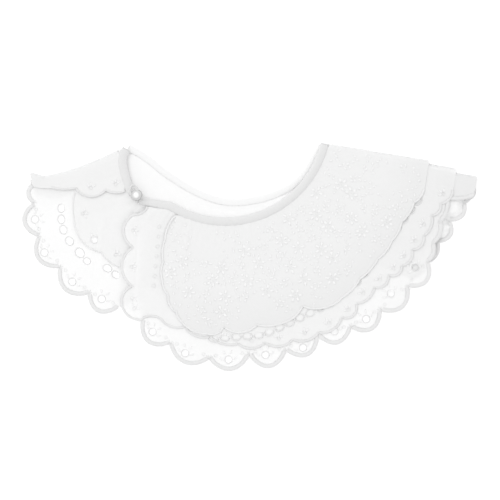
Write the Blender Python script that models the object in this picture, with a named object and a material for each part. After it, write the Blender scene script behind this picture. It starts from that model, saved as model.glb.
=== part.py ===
"""Three-tier broderie collar, buttoned at the neck and laid flat, folded in half at the shoulders.

The floor is z = 0. X runs along the shoulders, Y points from the hem to the neck. Lengths in this
file are in millimetres and become metres when a mesh is made.
"""

import math

import bpy
from mathutils import Vector
from mathutils.geometry import delaunay_2d_cdt

MM = 0.001
BOX_CENTRE = (-1.392, 1.1425)

# Cloth and stacking
CLOTH = 1.0
STACK_GAP = 0.5
SEAM_GAP = 0.3
BACK_THICKNESS = 2.2
BACK_EDGE_THICKNESS = 1.1
BACK_STEP_INSET = 5.0
BACK_STEP_RUN = 1.2
DRAPE_FROM = 3.5
DRAPE_TO = 27.0

# Gathers
NECK_CENTRE = (-21.4, 108.0)
PLEATS_PER_TURN = 30
SECOND_PLEATS_PER_TURN = 17
PLEAT_HEIGHT = 1.1
PLEAT_MEAN = 0.5
PLEAT_SHARE = 0.32
SECOND_PLEAT_SHARE = 0.18
PLEAT_PHASE = 0.6
SECOND_PLEAT_PHASE = 2.1
PLEAT_START = 100.0
PLEAT_FULL = 190.0

# Shoulder folds
FLARE_FROM = 67.0
FLARE_TO = 79.0
LIP_WIDTH = 1.5
LIP_RISE = 0.5
LIP_DROP = 1.2
LIP_FLOOR = 0.2
LIP_ROUND_FROM = -0.5
LIP_CLEAR = 1.0
RIGHT_INSETS = {"top": 0.0, "middle": 2.6, "base": 6.2, "back": 8.9}
LEFT_INSETS = {"top": 0.0, "middle": 2.6, "base": 5.2, "back": 7.8}
RIGHT_BACK_REACH = 116.0
LEFT_BACK_REACH = 50.0
RIGHT_FOLD = {"neck": (56.6, 89.7), "tip": (177.5, 69.6), "bow": 0.0, "flare": 0.0}
LEFT_FOLD = {"neck": (-98.8, 88.2), "tip": (-167.3, 62.9), "bow": 3.1, "flare": 5.5}

# Back half
NEAR_NECK = 100.0
BACK_HIDDEN_RADIUS = 158.0
BACK_HIDDEN_FIRST_ANGLE = 45.0
BACK_HIDDEN_ANGLE_STEP = 7.0
BACK_HIDDEN_ANGLES = 9

# Mesh
GRID = 9.0
RING_SPACING = 0.9
LATTICE_FROM = 45.0
LATTICE_TO = 225.0
EDGE_ROOM = 0.5
HOLE_ROOM = 0.35
CURVE_STEP = 3.6
NECK_STEP = 6.0
FRONT_NECK_STEP = 5.0
FRONT_ARC_STEPS = 30
HIDDEN_STEP = 7.0
NECK_LEAD = 1.0
LEFT_NECK_LEAD = 2.4
CLOSING_CLEAR = 1.5
FOLD_STEP = 7.0
HOLE_SIDES = 9
SCALLOP_ROUNDNESS = 0.65

# Neck bindings
BINDING_WIDTH = 6.8
BACK_BINDING_WIDTH = 6.4
BACK_BINDING_THICKNESS = 2.4
FRONT_BINDING_THICKNESS = 4.2
FRONT_BINDING_RADIUS = 80.2
BINDING_SIDE = 0.55
BINDING_SHOULDER = 0.72
BINDING_SHOULDER_HEIGHT = 0.88

# Button and loop
BUTTON_CENTRE = (-89.9, 48.3)
BUTTON_RADIUS = 4.0
BUTTON_LIFT = 0.3
BUTTON_RINGS = 9
BUTTON_SIDES = 20
BUTTON_FLAT_ANGLE = 0.25
LOOP_RADIUS = 4.3
LOOP_THREAD = 0.6
LOOP_TAIL = 8.5
LOOP_TURN = 2.0
LOOP_TAPER = 6
LOOP_STEPS = 28
THREAD_SIDES = 8

# Eyelets
SCALLOP_EYELET = 4.8
OVAL_LENGTH = 6.4
OVAL_WIDTH = 4.6
OVAL_PITCH = 8.8
LONE_EYELET = (-123.6, 14.0)

# Hems: each row is where two scallops meet and how far the next scallop bulges.
# x_mm, y_mm, bulge_mm
FRONT_BASE_HEM = (
    (-86.2, -48.8, 11.0),
    (-64.4, -66.7, 11.0),
    (-33.9, -78.4, 11.5),
    (-2.7, -75.3, 12.5),
    (26.1, -72.2, 11.5),
    (51.1, -60.5, 10.5),
    (76.8, -54.2, 10.5),
    (100.2, -41.0, 10.5),
    (121.3, -22.2, 9.5),
    (136.9, -3.5, 3.0),
    (141.6, 11.3, 3.0),
    (147.0, 27.7, 2.0),
    (153.3, 45.6, 1.6),
    (172.8, 48.0, 0.0),
)
FRONT_MIDDLE_HEM = (
    (-86.2, -48.8, -3.0),
    (-70.6, -49.5, 3.0),
    (-52.6, -54.2, 4.0),
    (-33.1, -62.0, 3.5),
    (-11.3, -67.5, 4.5),
    (9.8, -66.7, 4.5),
    (31.6, -64.4, 4.0),
    (51.9, -58.9, 4.5),
    (69.8, -47.2, 5.5),
    (81.5, -36.3, 3.5),
    (95.5, -23.8, 4.0),
    (106.5, -14.4, 4.0),
    (116.6, -6.6, 4.0),
    (124.4, 5.9, 4.0),
    (133.8, 16.8, 3.0),
    (140.0, 32.4, 3.0),
    (147.0, 41.7, 3.0),
    (156.4, 52.6, 0.0),
)
FRONT_TOP_HEM = (
    (-59.7, -42.5, 5.0),
    (-35.5, -59.7, 3.0),
    (-22.2, -54.2, 5.5),
    (3.5, -52.6, 4.0),
    (34.7, -44.9, 0.5),
    (39.4, -38.0, 5.0),
    (69.8, -31.6, 1.5),
    (83.9, -16.8, 1.5),
    (97.9, -1.2, 1.5),
    (108.8, 12.9, 1.5),
    (116.6, 27.7, 1.5),
    (126.0, 42.5, 1.5),
    (133.8, 52.6, 0.0),
)
LEFT_BASE_HEM = (
    (-173.0, 57.0, 4.4),
    (-171.2, 42.5, 10.5),
    (-167.3, 16.8, 11.0),
    (-150.9, -7.4, 11.0),
    (-128.3, -27.7, 10.5),
    (-104.9, -38.6, 0.0),
)
LEFT_MIDDLE_HEM = (
    (-172.4, 59.8, 0.3),
    (-170.6, 57.2, 0.0),
    (-140.0, 56.0, 0.3),
    (-138.5, 51.0, 3.0),
    (-136.1, 16.8, 3.0),
    (-118.2, 4.3, 2.5),
    (-101.8, -8.2, 0.0),
)
LEFT_TOP_HEM = (
    (-172.6, 61.6, 0.4),
    (-171.2, 55.4, 0.6),
    (-156.8, 54.2, 1.2),
    (-137.7, 53.8, 6.0),
    (-114.3, 52.3, 2.0),
    (-99.6, 51.4, 0.0),
)
BACK_HEM = (
    (172.8, 56.5, 3.0),
    (170.4, 45.6, 0.5),
    (166.5, 42.5, 6.0),
    (154.1, 29.2, 7.0),
    (145.5, 12.1, 4.0),
    (137.7, -3.5, 3.0),
    (124.0, -17.0, 0.0),
)

# The middle of the eyelet in each full scallop of the base tier.
# x_mm, y_mm
LEFT_SCALLOP_EYELETS = (
    (-170.2, 29.8),
    (-162.8, 3.9),
    (-141.0, -18.9),
    (-117.9, -32.4),
)
FRONT_SCALLOP_EYELETS = (
    (-78.1, -58.0),
    (-52.6, -74.7),
    (-18.7, -79.7),
    (10.1, -76.1),
    (39.4, -70.4),
    (64.0, -57.6),
    (88.8, -48.1),
    (108.0, -28.0),
    (126.8, -7.8),
)

# A row of oval eyelets, followed at an even pitch.
# angle_deg, radius_mm
MIDDLE_OVAL_ROW = (
    (23.0, 163.5),
    (50.0, 163.5),
    (60.0, 165.5),
    (72.0, 166.5),
    (80.0, 171.0),
    (93.0, 171.5),
)

# The oval eyelets of the left end, from the shoulder to the front.
# x_mm, y_mm, length_mm, width_mm
LEFT_OVALS = (
    (-149.4, 38.6, 5.6, 4.6),
    (-149.4, 29.8, 5.8, 4.6),
    (-147.8, 21.7, 5.8, 4.6),
    (-143.1, 12.9, 6.0, 4.8),
    (-135.0, 3.7, 7.0, 5.4),
    (-129.4, -2.7, 4.8, 4.2),
    (-113.5, -8.4, 6.2, 4.6),
    (-106.7, -13.5, 6.0, 4.4),
)

# Open front edges of the tiers, from the neck to the hem.
# x_mm, y_mm, bulge_mm
MIDDLE_FRONT_EDGE = (
    (-82.6, 39.6, -2.0),
    (-91.7, 34.3, 8.5),
    (-93.6, 7.8, 8.5),
    (-94.0, -22.2, 3.0),
    (-102.6, -35.5, 5.0),
    (-86.2, -48.8, 0.0),
)
TOP_FRONT_EDGE = (
    (-60.5, 32.6, 0.5),
    (-64.4, 27.7, 1.0),
    (-68.6, 13.7, 1.5),
    (-69.8, -3.5, 1.5),
    (-70.6, -17.6, 1.5),
    (-65.9, -29.2, 2.5),
    (-59.7, -42.5, 0.0),
)

# The edges that lie hidden under the front: a front edge runs from the neck, a left one towards it.
# x_mm, y_mm, bulge_mm
FRONT_BASE_HIDDEN_EDGE = (
    (-84.5, 39.0, 0.0),
    (-86.6, 30.0, 0.0),
    (-88.2, 10.0, 0.0),
    (-89.2, -10.0, 0.0),
    (-89.8, -28.0, 0.0),
    (-86.2, -48.8, 0.0),
)
# x_mm, y_mm
LEFT_BASE_HIDDEN_EDGE = (
    (-98.0, -38.0),
    (-91.6, -29.0),
    (-90.4, -10.0),
    (-89.4, 10.0),
    (-87.8, 30.0),
    (-88.0, 40.0),
)
LEFT_MIDDLE_HIDDEN_EDGE = (
    (-92.0, -7.0),
    (-90.5, 12.0),
    (-84.5, 28.0),
    (-81.5, 36.5),
    (-88.0, 39.0),
)
BACK_HIDDEN_EDGE = (
    (-86.0, -20.0),
    (-84.0, 5.0),
    (-84.5, 28.0),
    (-92.0, 44.0),
    (-99.5, 53.5),
    (-116.0, 57.0),
    (-134.0, 57.0),
)

# Neck lines, along the middle of each binding.
# x_mm, y_mm
LEFT_NECK = (
    (-93.6, 49.6),
    (-96.4, 54.6),
    (-98.4, 60.5),
    (-100.2, 66.7),
    (-101.6, 74.0),
    (-101.2, 80.0),
    (-98.4, 84.6),
)
FRONT_NECK_START = (
    (-88.6, 45.0),
    (-82.3, 43.0),
    (-74.6, 41.4),
)
BACK_NECK = (
    (-97.2, 85.6),
    (-89.3, 81.6),
    (-79.4, 74.9),
    (-69.8, 66.6),
    (-60.5, 60.4),
    (-51.3, 54.6),
    (-42.1, 49.8),
    (-32.9, 45.9),
    (-21.4, 42.9),
    (-9.9, 42.6),
    (1.6, 44.4),
    (8.5, 45.8),
    (18.1, 49.1),
    (27.5, 53.0),
    (37.1, 60.2),
    (44.6, 69.7),
    (49.4, 78.6),
    (54.6, 87.4),
)
FRONT_NECK_FIRST_ANGLE = 122.0
FRONT_NECK_LAST_ANGLE = 14.0

COLOURS = {
    "cotton_voile": (0.93, 0.93, 0.925, 1.0),
    "cotton_tape": (0.86, 0.86, 0.855, 1.0),
    "cotton_thread": (0.88, 0.88, 0.87, 1.0),
    "pearl": (0.90, 0.89, 0.87, 1.0),
}
ROUGHNESS = {"cotton_voile": 0.85, "cotton_tape": 0.7, "cotton_thread": 0.6, "pearl": 0.2}


def clear_scene():
    for obj in list(bpy.data.objects):
        bpy.data.objects.remove(obj, do_unlink=True)


def material(slot):
    """One Principled material per slot, made once."""
    found = bpy.data.materials.get(slot)
    if found:
        return found
    made = bpy.data.materials.new(slot)
    made.use_nodes = True
    shader = made.node_tree.nodes["Principled BSDF"]
    shader.inputs["Base Color"].default_value = COLOURS[slot]
    shader.inputs["Roughness"].default_value = ROUGHNESS[slot]
    return made


def add_object(name, points, faces, slot):
    """A smooth object in metres from points in millimetres, moved so that its box's centre is the origin."""
    mesh = bpy.data.meshes.new(name)
    placed = [((x - BOX_CENTRE[0]) * MM, (y - BOX_CENTRE[1]) * MM, z * MM) for x, y, z in points]
    mesh.from_pydata(placed, [], faces)
    mesh.materials.append(material(slot))
    mesh.polygons.foreach_set("use_smooth", [True] * len(mesh.polygons))
    mesh.validate()
    obj = bpy.data.objects.new(name, mesh)
    bpy.context.scene.collection.objects.link(obj)
    return obj


def smoothstep(value, start, end):
    share = min(1.0, max(0.0, (value - start) / (end - start)))
    return share * share * (3.0 - 2.0 * share)


def polar(radius, degrees):
    """A point at this distance from the neck's centre, with the angle counted from +X towards the hem."""
    angle = math.radians(degrees)
    return (NECK_CENTRE[0] + radius * math.cos(angle), NECK_CENTRE[1] - radius * math.sin(angle))


def scalloped(rows, side):
    """A hem line through the rows, with a rounded bulge to the given side between each two."""
    points = []
    for (x0, y0, bulge), (x1, y1, _) in zip(rows, rows[1:]):
        length = math.hypot(x1 - x0, y1 - y0)
        normal = (side * (y1 - y0) / length, -side * (x1 - x0) / length)
        steps = max(2, round((length + abs(bulge)) / CURVE_STEP))
        for i in range(steps):
            share = i / steps
            out = bulge * math.sin(math.pi * share) ** SCALLOP_ROUNDNESS
            x = x0 + (x1 - x0) * share
            y = y0 + (y1 - y0) * share
            points.append((x + normal[0] * out, y + normal[1] * out))
    points.append(rows[-1][:2])
    return points


def resampled(points, step):
    """Even points along a line, at about this step, that keep its two ends."""
    lengths = [math.dist(a, b) for a, b in zip(points, points[1:])]
    total = sum(lengths)
    count = max(1, round(total / step))
    found = [tuple(points[0])]
    index = 0
    done = 0.0
    for i in range(1, count):
        target = total * i / count
        while done + lengths[index] < target:
            done += lengths[index]
            index += 1
        share = (target - done) / lengths[index]
        a = points[index]
        b = points[index + 1]
        found.append((a[0] + (b[0] - a[0]) * share, a[1] + (b[1] - a[1]) * share))
    found.append(tuple(points[-1]))
    return found


def smoothed(points, passes):
    """Corner cutting that keeps the two ends."""
    for _ in range(passes):
        cut = [points[0]]
        for a, b in zip(points, points[1:]):
            cut.append((a[0] * 0.75 + b[0] * 0.25, a[1] * 0.75 + b[1] * 0.25))
            cut.append((a[0] * 0.25 + b[0] * 0.75, a[1] * 0.25 + b[1] * 0.75))
        cut.append(points[-1])
        points = cut
    return points


def offset_line(points, distance):
    """The line moved to its right, seen along it from above, by this distance."""
    moved = []
    last = len(points) - 1
    for i, point in enumerate(points):
        a = points[max(0, i - 1)]
        b = points[min(last, i + 1)]
        length = math.dist(a, b)
        right = ((b[1] - a[1]) / length, -(b[0] - a[0]) / length)
        moved.append((point[0] + right[0] * distance, point[1] + right[1] * distance))
    return moved


def fold_frame(fold, point):
    """How far a point lies along a shoulder fold from the neck, and how far in from its straight line."""
    (x0, y0), (x1, y1) = fold["neck"], fold["tip"]
    length = math.hypot(x1 - x0, y1 - y0)
    ux = (x1 - x0) / length
    uy = (y1 - y0) / length
    side = 1.0 if ux > 0 else -1.0
    dx = point[0] - x0
    dy = point[1] - y0
    return dx * ux + dy * uy, (dx * uy - dy * ux) * side, length


def bow_at(fold, along, length):
    """How far the fold's edge sags in from its straight line, less its flare at the tip."""
    share = min(1.0, max(0.0, along / length))
    return fold["bow"] * 4.0 * share * (1.0 - share) - fold["flare"] * smoothstep(along, FLARE_FROM, FLARE_TO)


def fold_point(fold, along, inset):
    """A point on a shoulder fold, this far from its neck end and this far in from its edge."""
    (x0, y0), (x1, y1) = fold["neck"], fold["tip"]
    length = math.hypot(x1 - x0, y1 - y0)
    ux = (x1 - x0) / length
    uy = (y1 - y0) / length
    side = 1.0 if ux > 0 else -1.0
    deep = (inset + bow_at(fold, along, length)) * side
    return (x0 + ux * along + uy * deep, y0 + uy * along - ux * deep)


def fold_depth(fold, point):
    """How far a point lies in from a shoulder fold's edge."""
    along, deep, length = fold_frame(fold, point)
    return deep - bow_at(fold, along, length)


def fold_along(fold, point):
    return fold_frame(fold, point)[0]


def inside(polygon, point):
    x, y = point
    found = False
    for (x0, y0), (x1, y1) in zip(polygon, polygon[1:] + polygon[:1]):
        if (y0 > y) != (y1 > y) and x < (x1 - x0) * (y - y0) / (y1 - y0) + x0:
            found = not found
    return found


def edge_distance(polygon, point):
    """The distance from a point to the nearest side of a closed polygon."""
    x, y = point
    best = 1e9
    for (x0, y0), (x1, y1) in zip(polygon, polygon[1:] + polygon[:1]):
        dx = x1 - x0
        dy = y1 - y0
        square = dx * dx + dy * dy
        share = 0.0 if square == 0 else min(1.0, max(0.0, ((x - x0) * dx + (y - y0) * dy) / square))
        best = min(best, math.hypot(x - x0 - dx * share, y - y0 - dy * share))
    return best


def cover(polygon, point):
    """1 over a lower piece and just beyond its edge, falling to 0 where the cloth has dropped off it."""
    if inside(polygon, point):
        return 1.0
    return 1.0 - smoothstep(edge_distance(polygon, point), DRAPE_FROM, DRAPE_TO)


def back_cover(back, point):
    """The same over the back half, whose cover carries on to the edge of each shoulder fold."""
    for fold, inset, reach in (
        (RIGHT_FOLD, RIGHT_INSETS["back"], RIGHT_BACK_REACH),
        (LEFT_FOLD, LEFT_INSETS["back"], LEFT_BACK_REACH),
    ):
        if fold_depth(fold, point) < inset and fold_along(fold, point) > -LIP_WIDTH:
            return 1.0 - smoothstep(fold_along(fold, point) - reach, DRAPE_FROM, DRAPE_TO)
    return cover(back, point)


def pleat(point):
    """The gathers: soft ridges that run out from the neck and grow towards the hems."""
    dx = point[0] - NECK_CENTRE[0]
    dy = NECK_CENTRE[1] - point[1]
    angle = math.atan2(dy, dx)
    radius = math.hypot(dx, dy)
    wave = PLEAT_MEAN + PLEAT_SHARE * math.sin(PLEATS_PER_TURN * angle + PLEAT_PHASE)
    wave += SECOND_PLEAT_SHARE * math.sin(SECOND_PLEATS_PER_TURN * angle + SECOND_PLEAT_PHASE)
    return PLEAT_HEIGHT * wave * smoothstep(radius, PLEAT_START, PLEAT_FULL)


def ring(centre, length, width, turn):
    """An oval eyelet: its points, with its long side turned by this angle in degrees."""
    cosine = math.cos(math.radians(turn))
    sine = math.sin(math.radians(turn))
    points = []
    for i in range(HOLE_SIDES):
        angle = math.tau * i / HOLE_SIDES
        u = 0.5 * length * math.cos(angle)
        v = 0.5 * width * math.sin(angle)
        points.append((centre[0] + u * cosine - v * sine, centre[1] + u * sine + v * cosine))
    return points


def round_eyelets(centres):
    """A round eyelet at each of these points."""
    return [ring(centre, SCALLOP_EYELET, SCALLOP_EYELET, 0.0) for centre in centres]


def turn_at(line, i):
    """The direction of a line at one of its points, in degrees."""
    a = line[max(0, i - 1)]
    b = line[min(len(line) - 1, i + 1)]
    return math.degrees(math.atan2(b[1] - a[1], b[0] - a[0]))


def even_ovals(rows):
    """Oval eyelets at an even pitch along a line of angles and radii, their long sides along it."""
    line = resampled([polar(radius, angle) for angle, radius in rows], OVAL_PITCH)
    return [ring(point, OVAL_LENGTH, OVAL_WIDTH, turn_at(line, i)) for i, point in enumerate(line)]


def placed_ovals(rows):
    """The oval eyelets of a table, their long sides along the row that they make."""
    line = [row[:2] for row in rows]
    return [ring((x, y), length, width, turn_at(line, i)) for i, (x, y, length, width) in enumerate(rows)]


def lattice(polygon, holes):
    """Points inside an outline and clear of its edges, on rings about the neck's centre."""
    found = []
    radius = LATTICE_FROM
    row = 0
    while radius < LATTICE_TO:
        count = round(math.tau * radius / GRID)
        for i in range(count):
            point = polar(radius, 360.0 * (i + 0.5 * (row % 2)) / count)
            if not inside(polygon, point) or edge_distance(polygon, point) < EDGE_ROOM * GRID:
                continue
            if any(edge_distance(hole, point) < HOLE_ROOM * GRID or inside(hole, point) for hole in holes):
                continue
            found.append(point)
        radius += RING_SPACING * GRID
        row += 1
    return found


def wall(name, outline, holes, ridges, bottom, top):
    """A closed cloth wall: the outline with its holes, with an underside and an upper side from functions."""
    points = []
    edges = []
    for loop in [outline] + holes:
        start = len(points)
        points += loop
        edges += [(start + i, start + (i + 1) % len(loop)) for i in range(len(loop))]
    for line in ridges:
        start = len(points)
        points += line
        edges += [(start + i, start + i + 1) for i in range(len(line) - 1)]
    points += lattice(outline, holes)
    flat, _, triangles, _, _, _ = delaunay_2d_cdt([Vector(point) for point in points], edges, [], 0, 1e-5)
    flat = [(point.x, point.y) for point in flat]
    kept = []
    for triangle in triangles:
        centre = (sum(flat[i][0] for i in triangle) / 3.0, sum(flat[i][1] for i in triangle) / 3.0)
        if inside(outline, centre) and not any(inside(hole, centre) for hole in holes):
            kept.append(list(triangle))
    used = sorted({i for triangle in kept for i in triangle})
    place = {old: new for new, old in enumerate(used)}
    kept = [[place[i] for i in triangle] for triangle in kept]
    flat = [flat[i] for i in used]
    kept = [t if area(flat[t[0]], flat[t[1]], flat[t[2]]) > 0 else t[::-1] for t in kept]
    count = len(flat)
    solid = [(x, y, top((x, y))) for x, y in flat] + [(x, y, bottom((x, y))) for x, y in flat]
    faces = [tuple(t) for t in kept]
    faces += [(t[2] + count, t[1] + count, t[0] + count) for t in kept]
    directed = {(t[i], t[(i + 1) % 3]) for t in kept for i in range(3)}
    for a, b in directed:
        if (b, a) not in directed:
            faces.append((b, a, a + count))
            faces.append((b, a + count, b + count))
    return add_object(name, solid, faces, "cotton_voile")


def area(a, b, c):
    return 0.5 * ((b[0] - a[0]) * (c[1] - a[1]) - (b[1] - a[1]) * (c[0] - a[0]))


def ribbon(name, line, width, base, thickness):
    """A bound edge along a line: a flat underside at this height and a rounded top, closed at both ends."""
    half = width / 2.0
    section = (
        (-half, 0.0),
        (half, 0.0),
        (half, BINDING_SIDE * thickness),
        (BINDING_SHOULDER * half, BINDING_SHOULDER_HEIGHT * thickness),
        (0.0, thickness),
        (-BINDING_SHOULDER * half, BINDING_SHOULDER_HEIGHT * thickness),
        (-half, BINDING_SIDE * thickness),
    )
    points = []
    size = len(section)
    last = len(line) - 1
    for i, point in enumerate(line):
        a = line[max(0, i - 1)]
        b = line[min(last, i + 1)]
        length = math.dist(a, b)
        normal = ((b[1] - a[1]) / length, -(b[0] - a[0]) / length)
        points += [(point[0] + normal[0] * u, point[1] + normal[1] * u, base + v) for u, v in section]
    faces = [tuple(range(size)), tuple(last * size + i for i in reversed(range(size)))]
    for i in range(last):
        for j in range(size):
            k = (j + 1) % size
            a = i * size
            b = a + size
            faces.append((a + k, a + j, b + j, b + k))
    return add_object(name, points, faces, "cotton_tape")


def ball(name, centre, radius):
    """A pearl, with a small flat under it."""
    rings = BUTTON_RINGS
    sides = BUTTON_SIDES
    points = [(centre[0], centre[1], centre[2] - radius * math.cos(BUTTON_FLAT_ANGLE))]
    for i in range(rings):
        angle = BUTTON_FLAT_ANGLE + (math.pi - 2.0 * BUTTON_FLAT_ANGLE) * i / (rings - 1)
        for j in range(sides):
            turn = math.tau * j / sides
            points.append(
                (
                    centre[0] + radius * math.sin(angle) * math.cos(turn),
                    centre[1] + radius * math.sin(angle) * math.sin(turn),
                    centre[2] - radius * math.cos(angle),
                )
            )
    points.append((centre[0], centre[1], centre[2] + radius))
    faces = []
    for j in range(sides):
        k = (j + 1) % sides
        faces.append((0, 1 + k, 1 + j))
        for i in range(rings - 1):
            a = 1 + i * sides
            b = a + sides
            faces.append((a + j, a + k, b + k, b + j))
        a = 1 + (rings - 1) * sides
        faces.append((a + j, a + k, len(points) - 1))
    return add_object(name, points, faces, "pearl")


def cord_loop(name, line, height, radius):
    """A closed round thread along a closed line at one height."""
    sides = THREAD_SIDES
    points = []
    count = len(line)
    for i in range(count):
        a = line[i - 1]
        b = line[(i + 1) % count]
        length = math.dist(a, b)
        normal = ((b[1] - a[1]) / length, -(b[0] - a[0]) / length)
        for j in range(sides):
            turn = math.tau * j / sides
            out = radius * math.cos(turn)
            points.append(
                (
                    line[i][0] + normal[0] * out,
                    line[i][1] + normal[1] * out,
                    height + radius * math.sin(turn),
                )
            )
    faces = []
    for i in range(count):
        a = i * sides
        b = ((i + 1) % count) * sides
        for j in range(sides):
            k = (j + 1) % sides
            faces.append((a + j, b + j, b + k, a + k))
    return add_object(name, points, faces, "cotton_thread")


def front_neck():
    """The middle of the front binding, from the button round to the right shoulder."""
    turn = (FRONT_NECK_LAST_ANGLE - FRONT_NECK_FIRST_ANGLE) / FRONT_ARC_STEPS
    arc = [polar(FRONT_BINDING_RADIUS, FRONT_NECK_FIRST_ANGLE + turn * i) for i in range(FRONT_ARC_STEPS + 1)]
    return resampled(smoothed(list(FRONT_NECK_START), 2) + arc, FRONT_NECK_STEP)


def back_neck():
    """The middle of the back binding, from the left shoulder to the right."""
    return resampled(smoothed(list(BACK_NECK), 1), NECK_STEP)


def left_neck():
    """The middle of the left binding, from the button up to the left shoulder."""
    return resampled(smoothed(list(LEFT_NECK), 1), FRONT_NECK_STEP)


def back_outline():
    """The outline of the folded-under back: neck, right fold, visible hem, hidden edge, left fold."""
    neck = offset_line(back_neck(), BACK_BINDING_WIDTH / 2 + SEAM_GAP)
    neck = [point for point in neck if fold_depth(RIGHT_FOLD, point) > RIGHT_INSETS["back"]]
    neck = [point for point in neck if fold_depth(LEFT_FOLD, point) > LEFT_INSETS["back"]]
    start = fold_along(RIGHT_FOLD, neck[-1]) + NECK_LEAD
    finish = fold_along(LEFT_FOLD, neck[0]) + LEFT_NECK_LEAD
    right = fold_line(RIGHT_FOLD, start, RIGHT_BACK_REACH, RIGHT_INSETS["back"])
    left = fold_line(LEFT_FOLD, LEFT_BACK_REACH, finish, LEFT_INSETS["back"])
    hem = scalloped(BACK_HEM, -1.0)
    hidden = []
    for i in range(BACK_HIDDEN_ANGLES):
        hidden.append(polar(BACK_HIDDEN_RADIUS, BACK_HIDDEN_FIRST_ANGLE + BACK_HIDDEN_ANGLE_STEP * i))
    return neck + right + hem + resampled(hidden + list(BACK_HIDDEN_EDGE), HIDDEN_STEP) + left


def fold_line(fold, first, last, inset):
    count = max(2, round(abs(last - first) / FOLD_STEP))
    return [fold_point(fold, first + (last - first) * i / count, inset) for i in range(count + 1)]


def folded_edge(fold, inset, first, last, first_point, last_point):
    """The turned edge of a tier along its fold, with the short edges that join it to the rest."""
    crease = (inset + LIP_WIDTH + LIP_RISE, inset + LIP_WIDTH)
    start = [fold_point(fold, first, depth) for depth in crease]
    finish = [fold_point(fold, last, depth) for depth in crease[::-1]]
    lead = resampled([first_point, start[0]], CURVE_STEP)[1:-1]
    trail = resampled([finish[-1], last_point], CURVE_STEP)[1:-1]
    return lead + start + fold_line(fold, first, last, inset) + finish + trail


def front_tier_outline(inset, hem, front_edge):
    """A tier of the front: open edge, hem, right fold, then back along the neck."""
    neck = offset_line(front_neck(), BINDING_WIDTH / 2 + SEAM_GAP)
    start = front_edge[0][:2]
    nearest = min(range(len(neck)), key=lambda i: math.dist(neck[i], start))
    clear = inset + LIP_WIDTH + LIP_RISE + LIP_CLEAR
    neck = [point for point in neck[nearest:] if fold_depth(RIGHT_FOLD, point) > clear]
    lower = scalloped(hem, 1.0)
    first = fold_along(RIGHT_FOLD, lower[-1])
    last = fold_along(RIGHT_FOLD, neck[-1]) + NECK_LEAD
    fold = folded_edge(RIGHT_FOLD, inset, first, last, lower[-1], neck[-1])
    return scalloped(front_edge, 1.0)[:-1] + lower + fold + neck[::-1][:-1], (last, first)


def left_tier_outline(inset, hem, closing):
    """A tier of the left end: along the fold, round the hem, back up under the front, then the neck."""
    neck = offset_line(left_neck(), -(BINDING_WIDTH / 2 + SEAM_GAP))
    lower = scalloped(hem, 1.0)
    clear = inset + LIP_WIDTH + LIP_RISE + LIP_CLEAR
    neck = [point for point in neck if fold_depth(LEFT_FOLD, point) > clear]
    neck = [point for point in neck if point[1] > lower[-1][1] + CLOSING_CLEAR]
    first = fold_along(LEFT_FOLD, neck[-1]) + NECK_LEAD
    last = fold_along(LEFT_FOLD, lower[0])
    fold = folded_edge(LEFT_FOLD, inset, first, last, neck[-1], lower[0])
    return fold + lower + list(closing) + neck, (first, last)


def lipped(fold, inset, level):
    """The underside and upper side of a tier that turns down at its shoulder fold."""

    def bottom(point):
        depth = fold_depth(fold, point) - inset
        rise = smoothstep(depth, LIP_WIDTH, LIP_WIDTH + LIP_RISE)
        return LIP_FLOOR + (level(point) - LIP_FLOOR) * rise

    def top(point):
        depth = fold_depth(fold, point) - inset
        rise = smoothstep(depth, LIP_ROUND_FROM, LIP_WIDTH + LIP_RISE)
        return level(point) + CLOTH - LIP_DROP * (1.0 - rise)

    return bottom, top


def lip_ridges(fold, inset, first, last):
    """Lines along a fold that keep its turned edge crisp."""
    return [
        fold_line(fold, first, last, inset + LIP_WIDTH),
        fold_line(fold, first, last, inset + LIP_WIDTH + LIP_RISE),
    ]


class Levels:
    """The height of each layer's underside, and of the back half's upper side."""

    def __init__(self, back, left_middle):
        self.back = back
        self.left_middle = left_middle

    def back_top(self, point):
        depth = edge_distance(self.back, point)
        rise = smoothstep(depth, BACK_STEP_INSET - BACK_STEP_RUN, BACK_STEP_INSET)
        if math.dist(point, NECK_CENTRE) < NEAR_NECK:
            rise = 1.0
        return BACK_EDGE_THICKNESS + (BACK_THICKNESS - BACK_EDGE_THICKNESS) * rise

    def base(self, point):
        return (BACK_THICKNESS + STACK_GAP) * back_cover(self.back, point) + pleat(point)

    def second(self, point):
        return self.base(point) + CLOTH + STACK_GAP

    def third(self, point):
        return self.second(point) + CLOTH + STACK_GAP

    def middle(self, point):
        over_base = self.second(point)
        over_left = self.second(point) + CLOTH + 2.0 * STACK_GAP
        return over_base + (over_left - over_base) * cover(self.left_middle, point)

    def top(self, point):
        return self.middle(point) + CLOTH + STACK_GAP


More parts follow.
